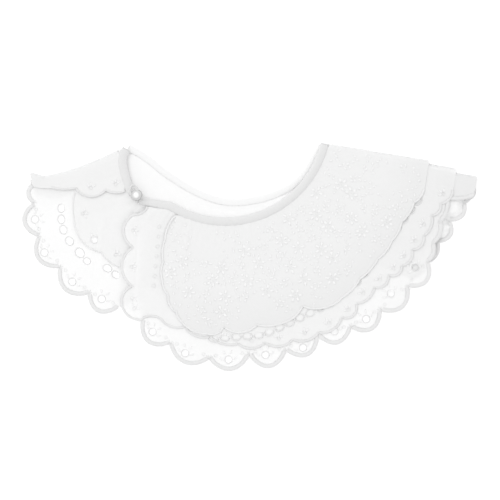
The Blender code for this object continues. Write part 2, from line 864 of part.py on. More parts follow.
def build_cloth():
    """The back half and the six visible tiers."""
    back = back_outline()
    left_base = left_tier_outline(LEFT_INSETS["base"], LEFT_BASE_HEM, LEFT_BASE_HIDDEN_EDGE)
    left_middle = left_tier_outline(LEFT_INSETS["middle"], LEFT_MIDDLE_HEM, LEFT_MIDDLE_HIDDEN_EDGE)
    left_top = left_tier_outline(LEFT_INSETS["top"], LEFT_TOP_HEM, ())
    front_base = front_tier_outline(RIGHT_INSETS["base"], FRONT_BASE_HEM, FRONT_BASE_HIDDEN_EDGE)
    front_middle = front_tier_outline(RIGHT_INSETS["middle"], FRONT_MIDDLE_HEM, MIDDLE_FRONT_EDGE)
    front_top = front_tier_outline(RIGHT_INSETS["top"], FRONT_TOP_HEM, TOP_FRONT_EDGE)
    levels = Levels(back, left_middle[0])
    wall("back_half", back, [], [], lambda point: 0.0, levels.back_top)
    lone_hole = round_eyelets([LONE_EYELET])
    left_holes = round_eyelets(LEFT_SCALLOP_EYELETS) + placed_ovals(LEFT_OVALS) + lone_hole
    front_holes = round_eyelets(FRONT_SCALLOP_EYELETS)
    middle_holes = even_ovals(MIDDLE_OVAL_ROW)
    plans = (
        ("left_base_tier", left_base, LEFT_FOLD, LEFT_INSETS["base"], levels.base, left_holes),
        ("left_middle_tier", left_middle, LEFT_FOLD, LEFT_INSETS["middle"], levels.second, lone_hole),
        ("left_top_tier", left_top, LEFT_FOLD, LEFT_INSETS["top"], levels.third, []),
        ("front_base_tier", front_base, RIGHT_FOLD, RIGHT_INSETS["base"], levels.base, front_holes),
        ("front_middle_tier", front_middle, RIGHT_FOLD, RIGHT_INSETS["middle"], levels.middle, middle_holes),
        ("front_top_tier", front_top, RIGHT_FOLD, RIGHT_INSETS["top"], levels.top, []),
    )
    for name, (outline, reach), fold, inset, level, holes in plans:
        bottom, top = lipped(fold, inset, level)
        wall(name, outline, holes, lip_ridges(fold, inset, *reach), bottom, top)


def build_fastening():
    """The neck bindings, the pearl button and its loop."""
    neck_base = BACK_THICKNESS + 2.0 * STACK_GAP
    ribbon("back_neck_binding", back_neck(), BACK_BINDING_WIDTH, 0.0, BACK_BINDING_THICKNESS)
    ribbon("front_neck_binding", front_neck(), BINDING_WIDTH, neck_base, FRONT_BINDING_THICKNESS)
    ribbon("left_neck_binding", left_neck(), BINDING_WIDTH, neck_base, FRONT_BINDING_THICKNESS)
    seat = neck_base + FRONT_BINDING_THICKNESS + BUTTON_LIFT
    ball("pearl_button", (*BUTTON_CENTRE, seat + BUTTON_RADIUS), BUTTON_RADIUS)
    loop = []
    for i in range(LOOP_STEPS):
        turn = math.tau * i / LOOP_STEPS
        stretch = 1.0 + (LOOP_TAIL / LOOP_RADIUS - 1.0) * max(0.0, math.cos(turn)) ** LOOP_TAPER
        across = LOOP_RADIUS * stretch * math.cos(turn + LOOP_TURN)
        along = LOOP_RADIUS * stretch * math.sin(turn + LOOP_TURN)
        loop.append((BUTTON_CENTRE[0] + across, BUTTON_CENTRE[1] + along))
    cord_loop("button_loop", loop, seat + LOOP_THREAD, LOOP_THREAD)


clear_scene()
build_cloth()
build_fastening()
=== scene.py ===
"""White lace collar of three scalloped tiers, buttoned at the neck and laid flat, folded at the shoulders.

Lengths in the tables and in the pattern functions are in millimetres, in the collar's own plan: X runs
along the shoulders, Y points from the hem to the neck, and z = 0 is the surface that it lies on.
"""

import math
import random

import bpy
import numpy
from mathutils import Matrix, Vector
from mathutils.geometry import delaunay_2d_cdt


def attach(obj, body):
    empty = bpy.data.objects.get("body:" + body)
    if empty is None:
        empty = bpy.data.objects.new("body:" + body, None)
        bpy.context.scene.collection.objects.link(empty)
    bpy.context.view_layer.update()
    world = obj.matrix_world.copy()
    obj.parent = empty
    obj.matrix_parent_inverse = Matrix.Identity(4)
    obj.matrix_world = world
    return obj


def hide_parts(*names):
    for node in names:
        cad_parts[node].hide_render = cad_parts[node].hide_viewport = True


bl_info = {
    "name": "Three-tier lace collar",
    "version": (1, 0, 0),
    "blender": (4, 5, 0),
    "location": "3D View > Sidebar > Collar",
    "description": "Builds a white cotton lace collar with scalloped tiers, eyelets, bound neck and button",
    "category": "Object",
}

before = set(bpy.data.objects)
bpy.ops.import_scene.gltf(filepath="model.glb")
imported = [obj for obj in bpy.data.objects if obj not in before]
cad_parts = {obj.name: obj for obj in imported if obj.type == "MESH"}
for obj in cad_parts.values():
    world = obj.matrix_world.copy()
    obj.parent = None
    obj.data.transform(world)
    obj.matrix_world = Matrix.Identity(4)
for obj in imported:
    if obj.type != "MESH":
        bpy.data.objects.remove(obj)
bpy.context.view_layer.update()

MM = 0.001
BOX_CENTRE = (-1.392, 1.1425)

# Cloth and stacking
CLOTH = 1.0
STACK_GAP = 0.5
SEAM_TUCK = 0.5
BACK_THICKNESS = 2.2
BACK_STEP_INSET = 5.0
BACK_STEP_RUN = 1.2
DRAPE_FROM = 3.5
DRAPE_TO = 27.0

# Where the cloth and its embroidery lie in each tier's wall
CLOTH_LIFTS = {"base": 0.60, "middle": 0.45, "top": -0.15}
BASE_RISE = 1.0
HEM_DROOP = 0.4
HEM_RUN = 7.0
UNDER_MIDDLE = {"front_base": "front_middle", "left_base": "left_middle"}
THREAD_RISE = 0.22
BACK_LIFT = -0.15
BACK_RISE = 0.5
BACK_PLEAT = 0.85
BACK_MIDDLE_RISE = 0.7
TUCK_FROM = 1.0
TUCK_TO = 6.0
TAPE_SWELL = 1.1
BACK_EDGE_HEIGHT = 0.55
FOLD_FOOT = 0.45
FOLD_ROUND = 2.2
FOLD_ROWS = (0.12, 0.4, 0.9, 1.5, FOLD_ROUND)
FOLD_UNDER = 2.1
TAIL_UNDER = 12.0
FOLD_UNDER_HEIGHT = 0.12

# Gathers
NECK_CENTRE = (-21.4, 108.0)
PLEATS_PER_TURN = 30
SECOND_PLEATS_PER_TURN = 17
PLEAT_HEIGHT = 1.1
PLEAT_MEAN = 0.5
PLEAT_SHARE = 0.32
SECOND_PLEAT_SHARE = 0.18
PLEAT_PHASE = 0.6
SECOND_PLEAT_PHASE = 2.1
PLEAT_START = 100.0
PLEAT_FULL = 190.0
GATHERS_PER_TURN = 122
SECOND_GATHERS_PER_TURN = 79
GATHER_SHARE = 0.6
SECOND_GATHER_SHARE = 0.4
SECOND_GATHER_PHASE = 1.3
GATHER_START = 84.0
GATHER_END = 118.0

# Shoulder folds
FLARE_FROM = 67.0
FLARE_TO = 79.0
LIP_WIDTH = 1.5
LIP_RISE = 0.5
LIP_CLEAR = 1.0
RIGHT_INSETS = {"top": 0.0, "middle": 2.6, "base": 6.2, "back": 8.9}
LEFT_INSETS = {"top": 0.0, "middle": 2.6, "base": 5.2, "back": 7.8}
RIGHT_BACK_REACH = 116.0
LEFT_BACK_REACH = 50.0
RIGHT_FOLD = {"neck": (56.6, 89.7), "tip": (177.5, 69.6), "bow": 0.0, "flare": 0.0}
LEFT_FOLD = {"neck": (-98.8, 88.2), "tip": (-167.3, 62.9), "bow": 3.1, "flare": 5.5}

# Back half
NEAR_NECK = 100.0
BACK_HIDDEN_RADIUS = 158.0
BACK_HIDDEN_FIRST_ANGLE = 45.0
BACK_HIDDEN_ANGLE_STEP = 7.0
BACK_HIDDEN_ANGLES = 9

# Mesh
GRID = 2.4
NECK_GRID = 1.5
NECK_GRID_TO = 104.0
RING_SPACING = 0.88
LATTICE_FROM = 45.0
LATTICE_TO = 225.0
EDGE_ROOM = 0.45
HOLE_ROOM = 0.35
CURVE_STEP = 1.1
NECK_STEP = 2.5
BACK_NECK_STEP = 3.0
FRONT_ARC_STEPS = 30
HIDDEN_STEP = 4.0
FOLD_STEP = 2.6
NECK_LEAD = 1.0
LEFT_NECK_LEAD = 2.4
CLOSING_CLEAR = 1.5
LARGE_HOLE = 4.0
LARGE_HOLE_SIDES = 18
SMALL_HOLE_SIDES = 9

# Neck bindings
BINDING_WIDTH = 6.8
BACK_BINDING_WIDTH = 6.4
BACK_BINDING_THICKNESS = 2.4
FRONT_BINDING_THICKNESS = 4.2
FRONT_BINDING_RADIUS = 80.2
TAPE_FILL = 0.92
TAPE_STEP = 1.3
TAPE_SIDE = 0.30
TAPE_SHOULDER = 0.40
TAPE_SECTION_STEPS = 10
PUCKER_FROM = 0.45
BACK_TAPE_BOTTOM = 0.05

# Button and loop
BUTTON_CENTRE = (-89.9, 48.3)
BUTTON_LIFT = 0.3
BUTTON_FOOT_ANGLE = 0.25
BUTTON_TOP_ANGLE = 0.12
BUTTON_ROWS = 28
BUTTON_SIDES = 56
SHANK_SIDES = 20
SHANK_TURNS = 3
SHANK_PITCH = 0.34
LOOP_RISE = 1.4
LOOP_RADIUS = 4.3
LOOP_TAIL = 8.5
LOOP_TURN = 2.0
LOOP_TAPER = 6
LOOP_STEPS = 120
LOOP_STRAND = 0.40
LOOP_TWISTS = 22
PLY_SIDES = 6
PLY_REACH = 0.82

# Eyelets
SCALLOP_EYELET = 4.8
SCALLOP_RIM = 1.0
OVAL_LENGTH = 6.4
OVAL_WIDTH = 4.6
OVAL_RIM = 0.9
OVAL_PITCH = 8.8
LONE_EYELET = (-123.6, 14.0)

# Only eyelets longer than this are cut in the cloth. The smaller ones are a rim of thread.
OPEN_EYELET = 3.0

# Stitching
SCALLOP_ROUNDNESS = 0.65
BORDER_SHIFT = 0.28
STITCH_OVERLAP = 1.25
STITCH_HEIGHT = 0.62
STITCH_SPREAD = (0.93, 1.07)
RIM_HEIGHT = 0.7
RIM_OVERLAP = 1.04
RIM_REACH = 0.35
LEAF_HEIGHT = 0.5
LACE_LEAF_HEIGHT = 0.4
SEAM_INSET = 1.15
SEAM_GAP = 1.28
SEAM_WIDTH = 0.42
SEAM_HEIGHT = 0.34
SEAM_LEVEL = 0.80

# The first rows of a hem that turn under at the shoulder and have no border.
UNSEWN = {"left_middle": 3, "left_top": 2}

# A tier's doubled end, given a darker opaque tone as painted shade: how far along its shoulder fold it
# starts, and how far in it reaches.
SHADED_TAILS = {"front_base": (96.0, 26.0)}

# Hems: each row is where two scallops meet and how far the next scallop bulges.
# x_mm, y_mm, bulge_mm
FRONT_BASE_HEM = (
    (-86.2, -48.8, 11.0),
    (-64.4, -66.7, 11.0),
    (-33.9, -78.4, 11.5),
    (-2.7, -75.3, 12.5),
    (26.1, -72.2, 11.5),
    (51.1, -60.5, 10.5),
    (76.8, -54.2, 10.5),
    (100.2, -41.0, 10.5),
    (121.3, -22.2, 9.5),
    (136.9, -3.5, 3.0),
    (141.6, 11.3, 3.0),
    (147.0, 27.7, 2.0),
    (153.3, 45.6, 1.6),
    (172.8, 48.0, 0.0),
)
FRONT_MIDDLE_HEM = (
    (-86.2, -48.8, -3.0),
    (-70.6, -49.5, 3.0),
    (-52.6, -54.2, 4.0),
    (-33.1, -62.0, 3.5),
    (-11.3, -67.5, 4.5),
    (9.8, -66.7, 4.5),
    (31.6, -64.4, 4.0),
    (51.9, -58.9, 4.5),
    (69.8, -47.2, 5.5),
    (81.5, -36.3, 3.5),
    (95.5, -23.8, 4.0),
    (106.5, -14.4, 4.0),
    (116.6, -6.6, 4.0),
    (124.4, 5.9, 4.0),
    (133.8, 16.8, 3.0),
    (140.0, 32.4, 3.0),
    (147.0, 41.7, 3.0),
    (156.4, 52.6, 0.0),
)
FRONT_TOP_HEM = (
    (-59.7, -42.5, 5.0),
    (-35.5, -59.7, 3.0),
    (-22.2, -54.2, 5.5),
    (3.5, -52.6, 4.0),
    (34.7, -44.9, 0.5),
    (39.4, -38.0, 5.0),
    (69.8, -31.6, 1.5),
    (83.9, -16.8, 1.5),
    (97.9, -1.2, 1.5),
    (108.8, 12.9, 1.5),
    (116.6, 27.7, 1.5),
    (126.0, 42.5, 1.5),
    (133.8, 52.6, 0.0),
)
LEFT_BASE_HEM = (
    (-173.0, 57.0, 4.4),
    (-171.2, 42.5, 10.5),
    (-167.3, 16.8, 11.0),
    (-150.9, -7.4, 11.0),
    (-128.3, -27.7, 10.5),
    (-104.9, -38.6, 0.0),
)
LEFT_MIDDLE_HEM = (
    (-172.4, 59.8, 0.3),
    (-170.6, 57.2, 0.0),
    (-140.0, 56.0, 0.3),
    (-138.5, 51.0, 3.0),
    (-136.1, 16.8, 3.0),
    (-118.2, 4.3, 2.5),
    (-101.8, -8.2, 0.0),
)
LEFT_TOP_HEM = (
    (-172.6, 61.6, 0.4),
    (-171.2, 55.4, 0.6),
    (-156.8, 54.2, 1.2),
    (-137.7, 53.8, 6.0),
    (-114.3, 52.3, 2.0),
    (-99.6, 51.4, 0.0),
)
BACK_HEM = (
    (172.8, 56.5, 3.0),
    (170.4, 45.6, 0.5),
    (166.5, 42.5, 6.0),
    (154.1, 29.2, 7.0),
    (145.5, 12.1, 4.0),
    (137.7, -3.5, 3.0),
    (124.0, -17.0, 0.0),
)

# The middle of the eyelet in each full scallop of the base tier.
# x_mm, y_mm
LEFT_SCALLOP_EYELETS = (
    (-170.2, 29.8),
    (-162.8, 3.9),
    (-141.0, -18.9),
    (-117.9, -32.4),
)
FRONT_SCALLOP_EYELETS = (
    (-78.1, -58.0),
    (-52.6, -74.7),
    (-18.7, -79.7),
    (10.1, -76.1),
    (39.4, -70.4),
    (64.0, -57.6),
    (88.8, -48.1),
    (108.0, -28.0),
    (126.8, -7.8),
)

# A row of oval eyelets, followed at an even pitch.
# angle_deg, radius_mm
MIDDLE_OVAL_ROW = (
    (23.0, 163.5),
    (50.0, 163.5),
    (60.0, 165.5),
    (72.0, 166.5),
    (80.0, 171.0),
    (93.0, 171.5),
)

# The oval eyelets of the left end, from the shoulder to the front.
# x_mm, y_mm, length_mm, width_mm
LEFT_OVALS = (
    (-149.4, 38.6, 5.6, 4.6),
    (-149.4, 29.8, 5.8, 4.6),
    (-147.8, 21.7, 5.8, 4.6),
    (-143.1, 12.9, 6.0, 4.8),
    (-135.0, 3.7, 7.0, 5.4),
    (-129.4, -2.7, 4.8, 4.2),
    (-113.5, -8.4, 6.2, 4.6),
    (-106.7, -13.5, 6.0, 4.4),
)

# Open front edges of the tiers, from the neck to the hem.
# x_mm, y_mm, bulge_mm
MIDDLE_FRONT_EDGE = (
    (-82.6, 39.6, -2.0),
    (-91.7, 34.3, 8.5),
    (-93.6, 7.8, 8.5),
    (-94.0, -22.2, 3.0),
    (-102.6, -35.5, 5.0),
    (-86.2, -48.8, 0.0),
)
TOP_FRONT_EDGE = (
    (-60.5, 32.6, 0.5),
    (-64.4, 27.7, 1.0),
    (-68.6, 13.7, 1.5),
    (-69.8, -3.5, 1.5),
    (-70.6, -17.6, 1.5),
    (-65.9, -29.2, 2.5),
    (-59.7, -42.5, 0.0),
)

# The edges that lie hidden under the front: a front edge runs from the neck, a left one towards it.
# x_mm, y_mm, bulge_mm
FRONT_BASE_HIDDEN_EDGE = (
    (-84.5, 39.0, 0.0),
    (-86.6, 30.0, 0.0),
    (-88.2, 10.0, 0.0),
    (-89.2, -10.0, 0.0),
    (-89.8, -28.0, 0.0),
    (-86.2, -48.8, 0.0),
)
# x_mm, y_mm
LEFT_BASE_HIDDEN_EDGE = (
    (-98.0, -38.0),
    (-91.6, -29.0),
    (-90.4, -10.0),
    (-89.4, 10.0),
    (-87.8, 30.0),
    (-88.0, 40.0),
)
LEFT_MIDDLE_HIDDEN_EDGE = (
    (-92.0, -7.0),
    (-90.5, 12.0),
    (-84.5, 28.0),
    (-81.5, 36.5),
    (-83.5, 41.0),
    (-90.0, 43.4),
    (-92.4, 46.6),
)
BACK_HIDDEN_EDGE = (
    (-86.0, -20.0),
    (-84.0, 5.0),
    (-84.5, 28.0),
    (-92.0, 44.0),
    (-99.5, 53.5),
    (-116.0, 57.0),
    (-134.0, 57.0),
)

# Neck lines, along the middle of each binding.
# x_mm, y_mm
LEFT_NECK = (
    (-93.6, 49.6),
    (-96.4, 54.6),
    (-98.4, 60.5),
    (-100.2, 66.7),
    (-101.6, 74.0),
    (-101.2, 80.0),
    (-98.4, 84.6),
)
FRONT_NECK_START = (
    (-88.6, 45.0),
    (-82.3, 43.0),
    (-74.6, 41.4),
)
BACK_NECK = (
    (-97.2, 85.6),
    (-89.3, 81.6),
    (-79.4, 74.9),
    (-69.8, 66.6),
    (-60.5, 60.4),
    (-51.3, 54.6),
    (-42.1, 49.8),
    (-32.9, 45.9),
    (-21.4, 42.9),
    (-9.9, 42.6),
    (1.6, 44.4),
    (8.5, 45.8),
    (18.1, 49.1),
    (27.5, 53.0),
    (37.1, 60.2),
    (44.6, 69.7),
    (49.4, 78.6),
    (54.6, 87.4),
)
FRONT_NECK_FIRST_ANGLE = 122.0
FRONT_NECK_LAST_ANGLE = 14.0

# Creases: soft ridges (height above 0) and troughs (below 0) that cross all the layers.
# x0_mm, y0_mm, x1_mm, y1_mm, width_mm, height_mm
CREASES = (
    (-48.5, 31.0, -52.5, -4.0, 2.2, 0.85),
    (-61.0, 29.0, -66.0, 4.0, 3.0, -0.35),
    (-136.0, 38.0, -136.5, 16.0, 2.4, 0.35),
    (-117.0, 30.0, -119.5, -12.0, 3.0, 0.40),
    (-121.5, 24.0, -123.0, -6.0, 2.4, -0.30),
    (-101.0, 26.0, -93.0, 12.0, 3.2, -0.45),
    (-4.0, 28.0, -2.0, -20.0, 4.0, 0.35),
    (22.0, 30.0, 46.0, -22.0, 4.0, -0.35),
    (44.0, 44.0, 92.0, 4.0, 4.5, 0.40),
    (66.0, 72.0, 128.0, 46.0, 5.0, 0.35),
    (70.0, 50.0, 112.0, 26.0, 4.0, -0.35),
    (-30.0, -62.0, -26.0, -30.0, 4.0, -0.30),
    (-134.0, 66.0, -110.0, 72.0, 4.0, 0.30),
    (-128.0, 58.0, -108.0, 62.0, 3.4, -0.25),
)
CREASE_BEND = 0.9
CREASE_TURNS = 5.0
CREASE_FADE = 0.25
CREASE_FALL = 2.0

# The leaves of a sprig, about its middle.
# along_mm, across_mm, turn_deg, length_mm
SPRIG = (
    (-5.4, 0.0, 8.0, 3.2),
    (-2.6, 1.7, 48.0, 3.0),
    (-2.0, -1.6, -34.0, 3.0),
    (0.8, 1.6, 52.0, 2.8),
    (1.6, -1.3, -30.0, 2.6),
    (5.0, 1.2, 0.0, 2.0),
)
SPRIG_BEND = 0.05
SPRIG_LEAF_WIDTH = 1.4

# The flower lace of the top tier, in rings about the neck
LACE_SEED = 7
LACE_FROM = 92.0
LACE_TO = 166.0
LACE_ROW_SHARE = 0.74
LACE_LEAN = 1.0
LACE_SWAY = 1.4
FLOWER_ROOM = 8.0
SPRIG_ROOM = 8.2
FLOWER_EYE = (1.5, 0.4)
LACE_DOTS = 900
DOT_RADII = (88.0, 160.0)
DOT_ANGLES = (14.0, 125.0)
DOT_SHAPES = ((1.7, 1.5), (2.2, 1.8), (2.6, 1.2), (3.2, 1.3))
DOT_ROOM = 2.7
DOT_EDGE_ROOM = 3.0
DOT_PATCH_SHARE = 0.8

# The small sprays in the scallops of the lower tiers
LEAST_BULGE = 2.0
LEAST_SCALLOP = 12.0
FULL_SCALLOP = 6.0
SPRAY_LEANS = (-52.0, 0.0, 52.0)
SPRAY_REACH = 3.0
SPRAY_LEAF = (3.4, 1.3)
SPRAY_EYE = (2.0, 0.5)
RING_EYE = (1.6, 0.9)
RING_INSET = 5.2
RING_DROP = -1.2
SPRAY_HOLE_ROOM = 2.6
SPRAY_LEAF_ROOM = 2.2

# The leaves on each side of a base scallop's eyelet. The lean is counted from a start angle.
# along_mm, out_mm, start_deg, lean_deg, length_mm
BASE_LEAVES = (
    (5.4, -0.8, 0.0, 38.0, 3.6),
    (2.6, -5.6, 90.0, -30.0, 3.2),
)
BASE_LEAF_WIDTH = 1.4

# Small eyelets down the open front of the middle tier: the ends of their line and their pitch.
FRONT_COLUMN = ((-72.5, 24.0), (-77.0, -22.0))
COLUMN_PITCH = 8.0

# Parts of the top tier that are left plain.
# x_mm, y_mm, radius_mm
PLAIN_PATCHES = (
    (-37.0, 11.0, 15.0),
    (4.0, -44.0, 17.0),
    (-2.0, 20.0, 8.0),
    (106.0, 62.0, 15.0),
    (84.0, -4.0, 9.0),
)

# Looks. A wave texture of scale 1 has bands 0.314 m apart.
WAVE_BAND = 0.314
WEAVE_ROUGHNESS = 0.8
SLUB = 3.0 * MM
FIBRE = 0.9 * MM
NACRE_RING = 1.6 * MM
# Painted shade: the share of its tone that a cloth keeps near the top tier's hem and towards the right
# shoulder, and where each darkening fades in (distance from the neck, then X, in metres).
PAINTED_SHADE_TONE = 0.965
HEM_SHADE_FROM = 0.130
HEM_SHADE_TO = 0.158
SHOULDER_SHADE_FROM = 0.085
SHOULDER_SHADE_TO = 0.150

# Stage: the camera looks straight down, with 390 mm of the surface across the picture.
FLOOR_HALF = 1500.0
LAMP_PLACE = (-0.75, 0.85, 1.35)
CAMERA_PLACE = (-0.000558, 0.0047075, 1.0873)
CAMERA_LENS = 100.0
CAMERA_SENSOR = 36.0


def linear(code):
    """The linear colour of an sRGB hex code."""
    shares = [int(code[i : i + 2], 16) / 255.0 for i in (0, 2, 4)]
    return tuple(v / 12.92 if v <= 0.04045 else ((v + 0.055) / 1.055) ** 2.4 for v in shares)


def size(name, description, default):
    """A length that the user may change, in metres."""
    return bpy.props.FloatProperty(
        name=name, description=description, default=default, min=0.0, unit="LENGTH", precision=5
    )


def colour(name, description, code):
    """A colour that the user may change, from its sRGB hex code."""
    return bpy.props.FloatVectorProperty(
        name=name, description=description, default=linear(code), size=3, min=0.0, max=1.0, subtype="COLOR"
    )


def share(name, description, default):
    """A part from 0 to 1 that the user may change."""
    return bpy.props.FloatProperty(
        name=name, description=description, default=default, min=0.0, max=1.0, subtype="FACTOR"
    )


class CollarSizes(bpy.types.PropertyGroup):
    """Sizes of the sewing and the embroidery."""

    base_border: size("Base border", "Width of the satin edge on the base tier's scallops", 0.0042)
    middle_border: size("Middle border", "Width of the satin edge on the middle tier", 0.0024)
    top_border: size("Top border", "Width of the satin edge on the top tier", 0.0020)
    inner_border: size("Inner border", "Width of the narrow edge on the left end's middle tier", 0.0012)
    stitch_pitch: size("Stitch pitch", "From one satin stitch to the next", 0.00055)
    thread: size("Thread", "Width of one satin stitch", 0.00062)
    gather: size("Gather height", "Height of the fine gathers at the neck seam", 0.0005)
    flower_radius: size("Flower radius", "From a flower's centre to the middle of its petals", 0.0037)
    petal_length: size("Petal length", "Length of a satin-stitched petal", 0.0034)
    petal_width: size("Petal width", "Width of a satin-stitched petal", 0.0021)
    motif_pitch: size("Motif pitch", "From one motif of the top tier to the next", 0.0155)
    seam_stitch: size("Seam stitch", "Length of one machine stitch on the neck tape", 0.0021)
    pearl_radius: size("Pearl radius", "Radius of the button", 0.0040)


class CollarColours(bpy.types.PropertyGroup):
    """Colours and cover of the cloth and threads."""

    voile: colour("Voile", "Bleached cotton voile of the two lower tiers", "FBFBFB")
    top_cotton: colour("Top cotton", "Closer woven cotton of the top tier", "F5F5F5")
    # Painted shade: the darker opaque tone of the lower tiers' ends at the right shoulder, where they are
    # doubled and shaded.
    doubled: colour("Doubled voile", "The two lower tiers where they are turned double", "EBEBEB")
    embroidery: colour("Embroidery", "Mercerised white embroidery cotton", "ECECEC")
    lace_thread: colour("Lace thread", "Thread of the top tier's flowers", "F7F7F7")
    pale_thread: colour("Pale thread", "Fine thread of the top tier's edge", "F2F2F2")
    # Painted shade: the front and left tapes are the same cloth as the back tape, given a darker tone for the
    # shade on the thicker front binding.
    front_tape_painted_shade: colour("Front tape", "Bias tape round the front of the neck", "E5E5E5")
    back_tape: colour("Back tape", "Bias tape round the back of the neck", "F6F6F6")
    seam_thread: colour("Seam thread", "Sewing thread on the tape", "ECECEC")
    # Painted highlight and shade: the pearl is white only near its top and grey lower down its side.
    pearl: colour("Pearl", "Nacre at the top of the button", "FDFDFD")
    pearl_painted_shade: colour("Pearl shade", "Nacre low on the button's side", "D0D0D0")
    floor: colour("Floor", "Plain white surface under the collar", "FAFAFA")
    tier_cover: share("Tier cover", "How much of what is below it one layer of voile hides", 0.88)
    top_cover: share("Top cover", "The same for the top tier's closer cotton", 0.94)
    back_cover: share("Back cover", "The same for the layers of the back half", 0.92)


class CollarStage(bpy.types.PropertyGroup):
    """The light on the collar."""

    sky: bpy.props.FloatProperty(
        name="Sky", description="Strength of the even light from all round", default=0.95, min=0.0
    )
    lamp: bpy.props.FloatProperty(
        name="Lamp", description="Power of the large soft lamp", default=4.3, min=0.0, unit="POWER"
    )
    lamp_size: size("Lamp size", "Width of the large soft lamp", 1.3)
    glow: bpy.props.FloatProperty(
        name="Glow", description="Light from the backlit white table under the collar", default=0.25, min=0.0
    )


def smoothstep(value, start, end):
    part = numpy.clip((numpy.asarray(value, float) - start) / (end - start), 0.0, 1.0)
    return part * part * (3.0 - 2.0 * part)


def polar(radius, degrees):
    """A point at this distance from the neck's centre, with the angle counted from +X towards the hem."""
    angle = math.radians(degrees)
    return (NECK_CENTRE[0] + radius * math.cos(angle), NECK_CENTRE[1] - radius * math.sin(angle))


def about_neck(points):
    """The angle in radians and the radius of points about the neck's centre."""
    points = numpy.asarray(points, float)
    dx = points[..., 0] - NECK_CENTRE[0]
    dy = NECK_CENTRE[1] - points[..., 1]
    return numpy.arctan2(dy, dx), numpy.hypot(dx, dy)


def heading(start, end):
    """The distance from one point to another, and the unit direction between them."""
    dx = end[0] - start[0]
    dy = end[1] - start[1]
    length = math.hypot(dx, dy)
    return length, dx / length, dy / length


def scalloped(rows, side):
    """A hem line through the rows, with a rounded bulge to the given side between each two."""
    points = []
    for start, end in zip(rows, rows[1:]):
        length, ux, uy = heading(start, end)
        bulge = start[2]
        steps = max(3, round((length + abs(bulge)) / CURVE_STEP))
        for i in range(steps):
            along = length * i / steps
            out = side * bulge * math.sin(math.pi * i / steps) ** SCALLOP_ROUNDNESS
            points.append((start[0] + ux * along + uy * out, start[1] + uy * along - ux * out))
    points.append(tuple(rows[-1][:2]))
    return points


def resampled(points, step):
    """Even points along a line, at about this step, that keep its two ends."""
    lengths = [math.dist(a, b) for a, b in zip(points, points[1:])]
    total = sum(lengths)
    count = max(1, round(total / step))
    found = [tuple(points[0])]
    index = 0
    done = 0.0
    for i in range(1, count):
        target = total * i / count
        while done + lengths[index] < target:
            done += lengths[index]
            index += 1
        part = (target - done) / lengths[index]
        a = points[index]
        b = points[index + 1]
        found.append(tuple(p + (q - p) * part for p, q in zip(a, b)))
    found.append(tuple(points[-1]))
    return found


def smoothed(points, passes):
    """Corner cutting that keeps the two ends."""
    for _ in range(passes):
        cut = [points[0]]
        for a, b in zip(points, points[1:]):
            cut.append((a[0] * 0.75 + b[0] * 0.25, a[1] * 0.75 + b[1] * 0.25))
            cut.append((a[0] * 0.25 + b[0] * 0.75, a[1] * 0.25 + b[1] * 0.75))
        cut.append(points[-1])
        points = cut
    return points


def normal_at(points, i):
    """The unit direction to the right of a line at one of its points, seen along it from above."""
    a = points[max(0, i - 1)]
    b = points[min(len(points) - 1, i + 1)]
    length = math.dist(a[:2], b[:2])
    return ((b[1] - a[1]) / length, -(b[0] - a[0]) / length)


def offset_line(points, distance):
    """The line moved to its right, seen along it from above, by this distance."""
    moved = []
    for i, point in enumerate(points):
        right = normal_at(points, i)
        moved.append((point[0] + right[0] * distance, point[1] + right[1] * distance))
    return moved


def fold_frame(fold, points):
    """How far points lie along a fold from the neck and in from its straight line, and its length."""
    length, ux, uy = heading(fold["neck"], fold["tip"])
    points = numpy.asarray(points, float)
    dx = points[..., 0] - fold["neck"][0]
    dy = points[..., 1] - fold["neck"][1]
    return dx * ux + dy * uy, (dx * uy - dy * ux) * math.copysign(1.0, ux), length


def bow_at(fold, along, length):
    """How far the fold's edge sags in from its straight line, less its flare at the tip."""
    part = numpy.clip(along / length, 0.0, 1.0)
    return fold["bow"] * 4.0 * part * (1.0 - part) - fold["flare"] * smoothstep(along, FLARE_FROM, FLARE_TO)


def fold_point(fold, along, inset):
    """A point on a shoulder fold, this far from its neck end and this far in from its edge."""
    length, ux, uy = heading(fold["neck"], fold["tip"])
    deep = (inset + float(bow_at(fold, along, length))) * math.copysign(1.0, ux)
    return (fold["neck"][0] + ux * along + uy * deep, fold["neck"][1] + uy * along - ux * deep)


def fold_depth(fold, points):
    """How far points lie in from a shoulder fold's edge."""
    along, deep, length = fold_frame(fold, points)
    return deep - bow_at(fold, along, length)


def fold_along(fold, points):
    return fold_frame(fold, points)[0]


def fold_line(fold, first, last, inset):
    count = max(2, round(abs(last - first) / FOLD_STEP))
    return [fold_point(fold, first + (last - first) * i / count, inset) for i in range(count + 1)]


def inside(polygon, points):
    """Which of the points lie inside a closed polygon."""
    points = numpy.asarray(points, float)
    x = points[..., 0]
    y = points[..., 1]
    found = numpy.zeros(x.shape, bool)
    for (x0, y0), (x1, y1) in zip(polygon, polygon[1:] + polygon[:1]):
        if y0 != y1:
            found ^= ((y0 > y) != (y1 > y)) & (x < (x1 - x0) * (y - y0) / (y1 - y0) + x0)
    return found


def edge_distance(polygon, points):
    """The distance from each point to the nearest side of a closed polygon."""
    points = numpy.asarray(points, float)
    x = points[..., 0]
    y = points[..., 1]
    best = numpy.full(x.shape, 1e18)
    for (x0, y0), (x1, y1) in zip(polygon, polygon[1:] + polygon[:1]):
        dx = x1 - x0
        dy = y1 - y0
        square = dx * dx + dy * dy
        if square == 0.0:
            continue
        part = numpy.clip(((x - x0) * dx + (y - y0) * dy) / square, 0.0, 1.0)
        best = numpy.minimum(best, (x - x0 - dx * part) ** 2 + (y - y0 - dy * part) ** 2)
    return numpy.sqrt(best)


def cover(polygon, points):
    """1 over a lower piece and just beyond its edge, falling to 0 where the cloth has dropped off it."""
    away = 1.0 - smoothstep(edge_distance(polygon, points), DRAPE_FROM, DRAPE_TO)
    return numpy.where(inside(polygon, points), 1.0, away)


